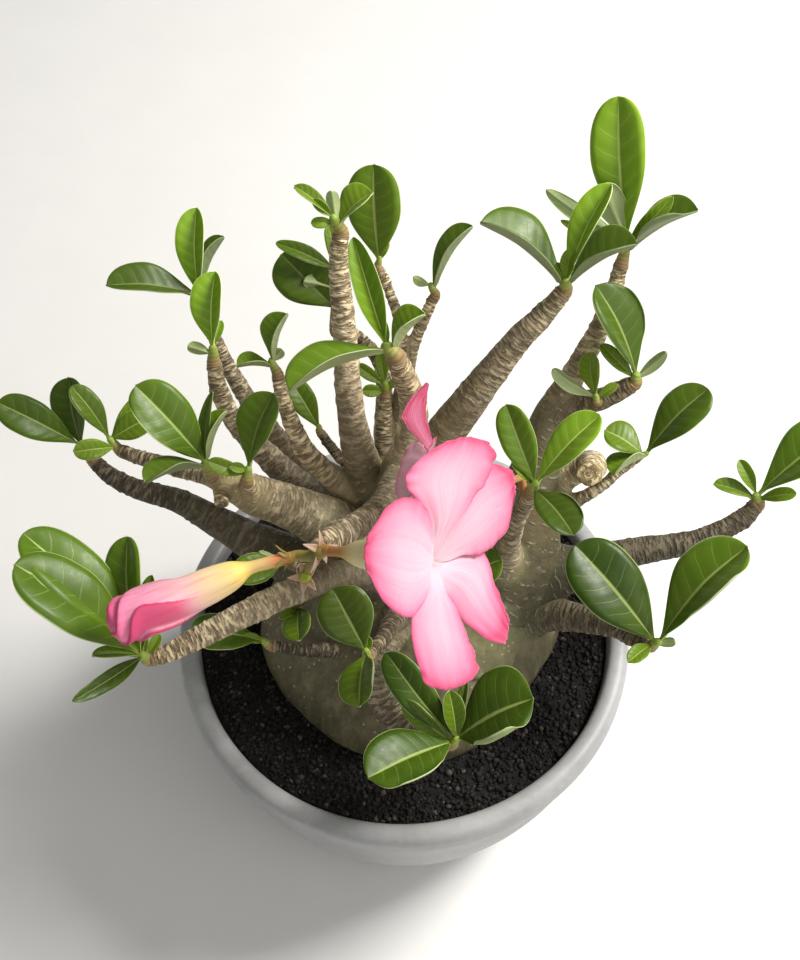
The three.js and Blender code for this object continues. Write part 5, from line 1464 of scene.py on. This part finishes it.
def make_stalk(*stuffs):
    """The common stalk with its arms, the sepals of the bloom and bud, and the spent calyx."""
    tip, direction, radius = branch_end("flowering")
    build = Build("tube")
    head = tip + direction * 3
    way = spline([tip - direction * 1.5, tip + direction, head], 6)
    build.add(*capped(tube_points(way, np.linspace(radius * 0.95, 2.1, len(way)), 18)), tube=(0.1, 0.2, 0, 0))
    arms = [(FRONT.foot, FRONT.axis, 1.75), (BUD_FOOT, BUD_AXIS, 1.7), (SPENT, SPENT_FACING, 1.5)]
    for target, onward, width in arms:
        knee = target - onward * 2
        way = spline([head - direction, lerp(head, knee, 0.6), knee, target + onward * 0.6], 6)
        colour = tube_colours(np.linspace(0, 1, len(way)), 16).reshape(-1, 4)
        colour = np.vstack([colour, [(0, 0, 0, 0), (1, 0, 0, 0)]])
        colour[:, 1] = 0.4
        build.add(*capped(tube_points(way, np.linspace(width * 1.15, width, len(way)), 16)), tube=colour)
    sepal_star(build, FRONT.foot - FRONT.axis * 3.5, FRONT.axis, 6.2, 2.3, 78, 0.4)
    sepal_star(build, BUD_FOOT + arr(-0.5, -0.1, 0), BUD_AXIS, 4.8, 2.8, 22, 0.9, 0)
    sepal_star(build, SPENT - SPENT_FACING * 0.2, SPENT_FACING, 4.6, 2.2, 66, 0.2)
    # the green middle of the spent calyx
    knob = turned_rings(SPENT, SPENT_FACING, *directions_about(SPENT_FACING),
                        ((-0.6, 1.5), (0.4, 1.9), (1.1, 1.7), (1.5, 1.1), (1.3, 0.5)), 20)
    build.add(*capped(knob), slot=2, tube=(0.5, 0.5, 0, 0))
    return place(build.object("flower_stalk_and_sepals", stuffs), "stalk", "flower_stalk")


# ---------------------------------------------------------------- the whole object


def make_plant():
    leaf = leaf_material()
    shoot = shoot_material()
    petal = petal_material()
    funnel = tube_material("flower_funnel", [
        (0.0, (0.42, 0.18, 0.05)), (0.2, (0.52, 0.27, 0.08)), (0.3, (0.66, 0.50, 0.20)),
        (0.4, (0.80, 0.72, 0.38)), (0.8, (0.86, 0.78, 0.46)), (1.0, (0.82, 0.62, 0.46))], 0.12)
    bud = tube_material("bud_skin", [
        (0.0, (0.20, 0.24, 0.03)), (0.035, (0.66, 0.17, 0.06)), (0.09, (0.76, 0.34, 0.14)),
        (0.15, (0.80, 0.58, 0.26)), (0.27, (0.82, 0.64, 0.15)), (0.38, (0.80, 0.62, 0.30)),
        (0.48, (0.84, 0.58, 0.40)), (0.58, (0.86, 0.50, 0.54)), (0.72, (0.88, 0.42, 0.56)),
        (1.0, (0.80, 0.16, 0.36))], 0.3)
    stalk = tube_material("stalk_skin", [(0.0, (0.20, 0.19, 0.05)), (0.45, (0.30, 0.26, 0.06)),
                                         (1.0, (0.46, 0.21, 0.06))], 0.15)
    sepal = tube_material("sepal_skin", [(0.0, (0.48, 0.28, 0.15)), (0.35, (0.56, 0.38, 0.27)),
                                         (1.0, (0.60, 0.44, 0.36))], 0.2)
    ovary = tube_material("ovary_skin", [(0.0, (0.30, 0.36, 0.03)), (1.0, (0.46, 0.58, 0.05))], 0.1)
    make_pot()
    make_soil()
    make_wood()
    for index, name in enumerate(SHOOTS):
        make_shoot(name, leaf, shoot, index)
    # one more leaf, on the shoulder of the caudex right behind the front bloom
    build = Build("leaf", "kind")
    make_blade(build, arr(19.5, -7.6, 151.5), heading=-6, rise=41, roll=-35, length=21, width=14,
               fold=14, chance=0.2, youth=0.0)
    place(build.object("trunk_leaf", [leaf]), "leaf")
    make_bloom("front_bloom", FRONT, FRONT_PETALS, petal)
    make_bloom_tube("front_bloom", FRONT, funnel)
    make_bloom("back_bloom", BACK, BACK_PETALS, petal)
    make_bloom_tube("back_bloom", BACK, funnel, [41.6, -2.5, 197])
    make_bud(bud)
    make_stalk(stalk, sepal, ovary)


# ---------------------------------------------------------------- floor, light and camera


def make_stage():
    """A plain pale floor."""
    mesh = bpy.data.meshes.new("floor")
    x, front, back = 3.0, -2.5, 4.0
    mesh.from_pydata([(-x, front, 0), (x, front, 0), (x, back, 0), (-x, back, 0)], [], [(0, 1, 2, 3)])
    mesh.materials.append(floor_material())
    linked("floor", mesh)


def area_light(name, at, towards, side, watts, colour):
    light = bpy.data.lights.new(name, "AREA")
    light.shape = "SQUARE"
    light.size = side
    light.energy = watts
    light.color = colour
    lamp = linked(name, light)
    lamp.location = at
    lamp.rotation_euler = (Vector(towards) - Vector(at)).to_track_quat("-Z", "Y").to_euler()


def make_light():
    area_light("window", at=(0.85, 0.26, 1.12), towards=(0, 0, 0.15), side=0.45, watts=25,
               colour=(1.0, 0.97, 0.92))
    area_light("fill", at=(0.75, -0.9, 1.1), towards=(0, 0, 0.12), side=1.1, watts=6,
               colour=(1.0, 0.98, 0.95))
    world = bpy.data.worlds.new("studio")
    world.use_nodes = True
    background = world.node_tree.nodes["Background"]
    background.inputs["Color"].default_value = (1.0, 0.985, 0.955, 1)
    background.inputs["Strength"].default_value = 0.29
    bpy.context.scene.world = world


# The photograph's camera, worked out from the ellipse of the pot's rim.
CAMERA_AT = (-0.0003, -0.25945, 0.59862)
CAMERA_PITCH = math.radians(56.66)  # below the level
CAMERA_ROLL = math.radians(-1.17)
CAMERA_LENS = 52.5


def make_camera():
    forward = Vector((0, math.cos(CAMERA_PITCH), -math.sin(CAMERA_PITCH)))
    right = Vector((1, 0, 0))
    up = right.cross(forward)
    turned_right = right * math.cos(CAMERA_ROLL) + up * math.sin(CAMERA_ROLL)
    turned_up = up * math.cos(CAMERA_ROLL) - right * math.sin(CAMERA_ROLL)
    camera = bpy.data.cameras.new("camera")
    camera.lens = CAMERA_LENS
    camera.sensor_width = 36
    camera.sensor_fit = "AUTO"
    holder = linked("camera", camera)
    turn = Matrix((turned_right, turned_up, -forward)).transposed()
    holder.matrix_world = Matrix.Translation(CAMERA_AT) @ turn.to_4x4()
    bpy.context.scene.camera = holder


make_plant()
make_stage()
make_light()
make_camera()
bpy.context.scene.view_settings.view_transform = "Standard"
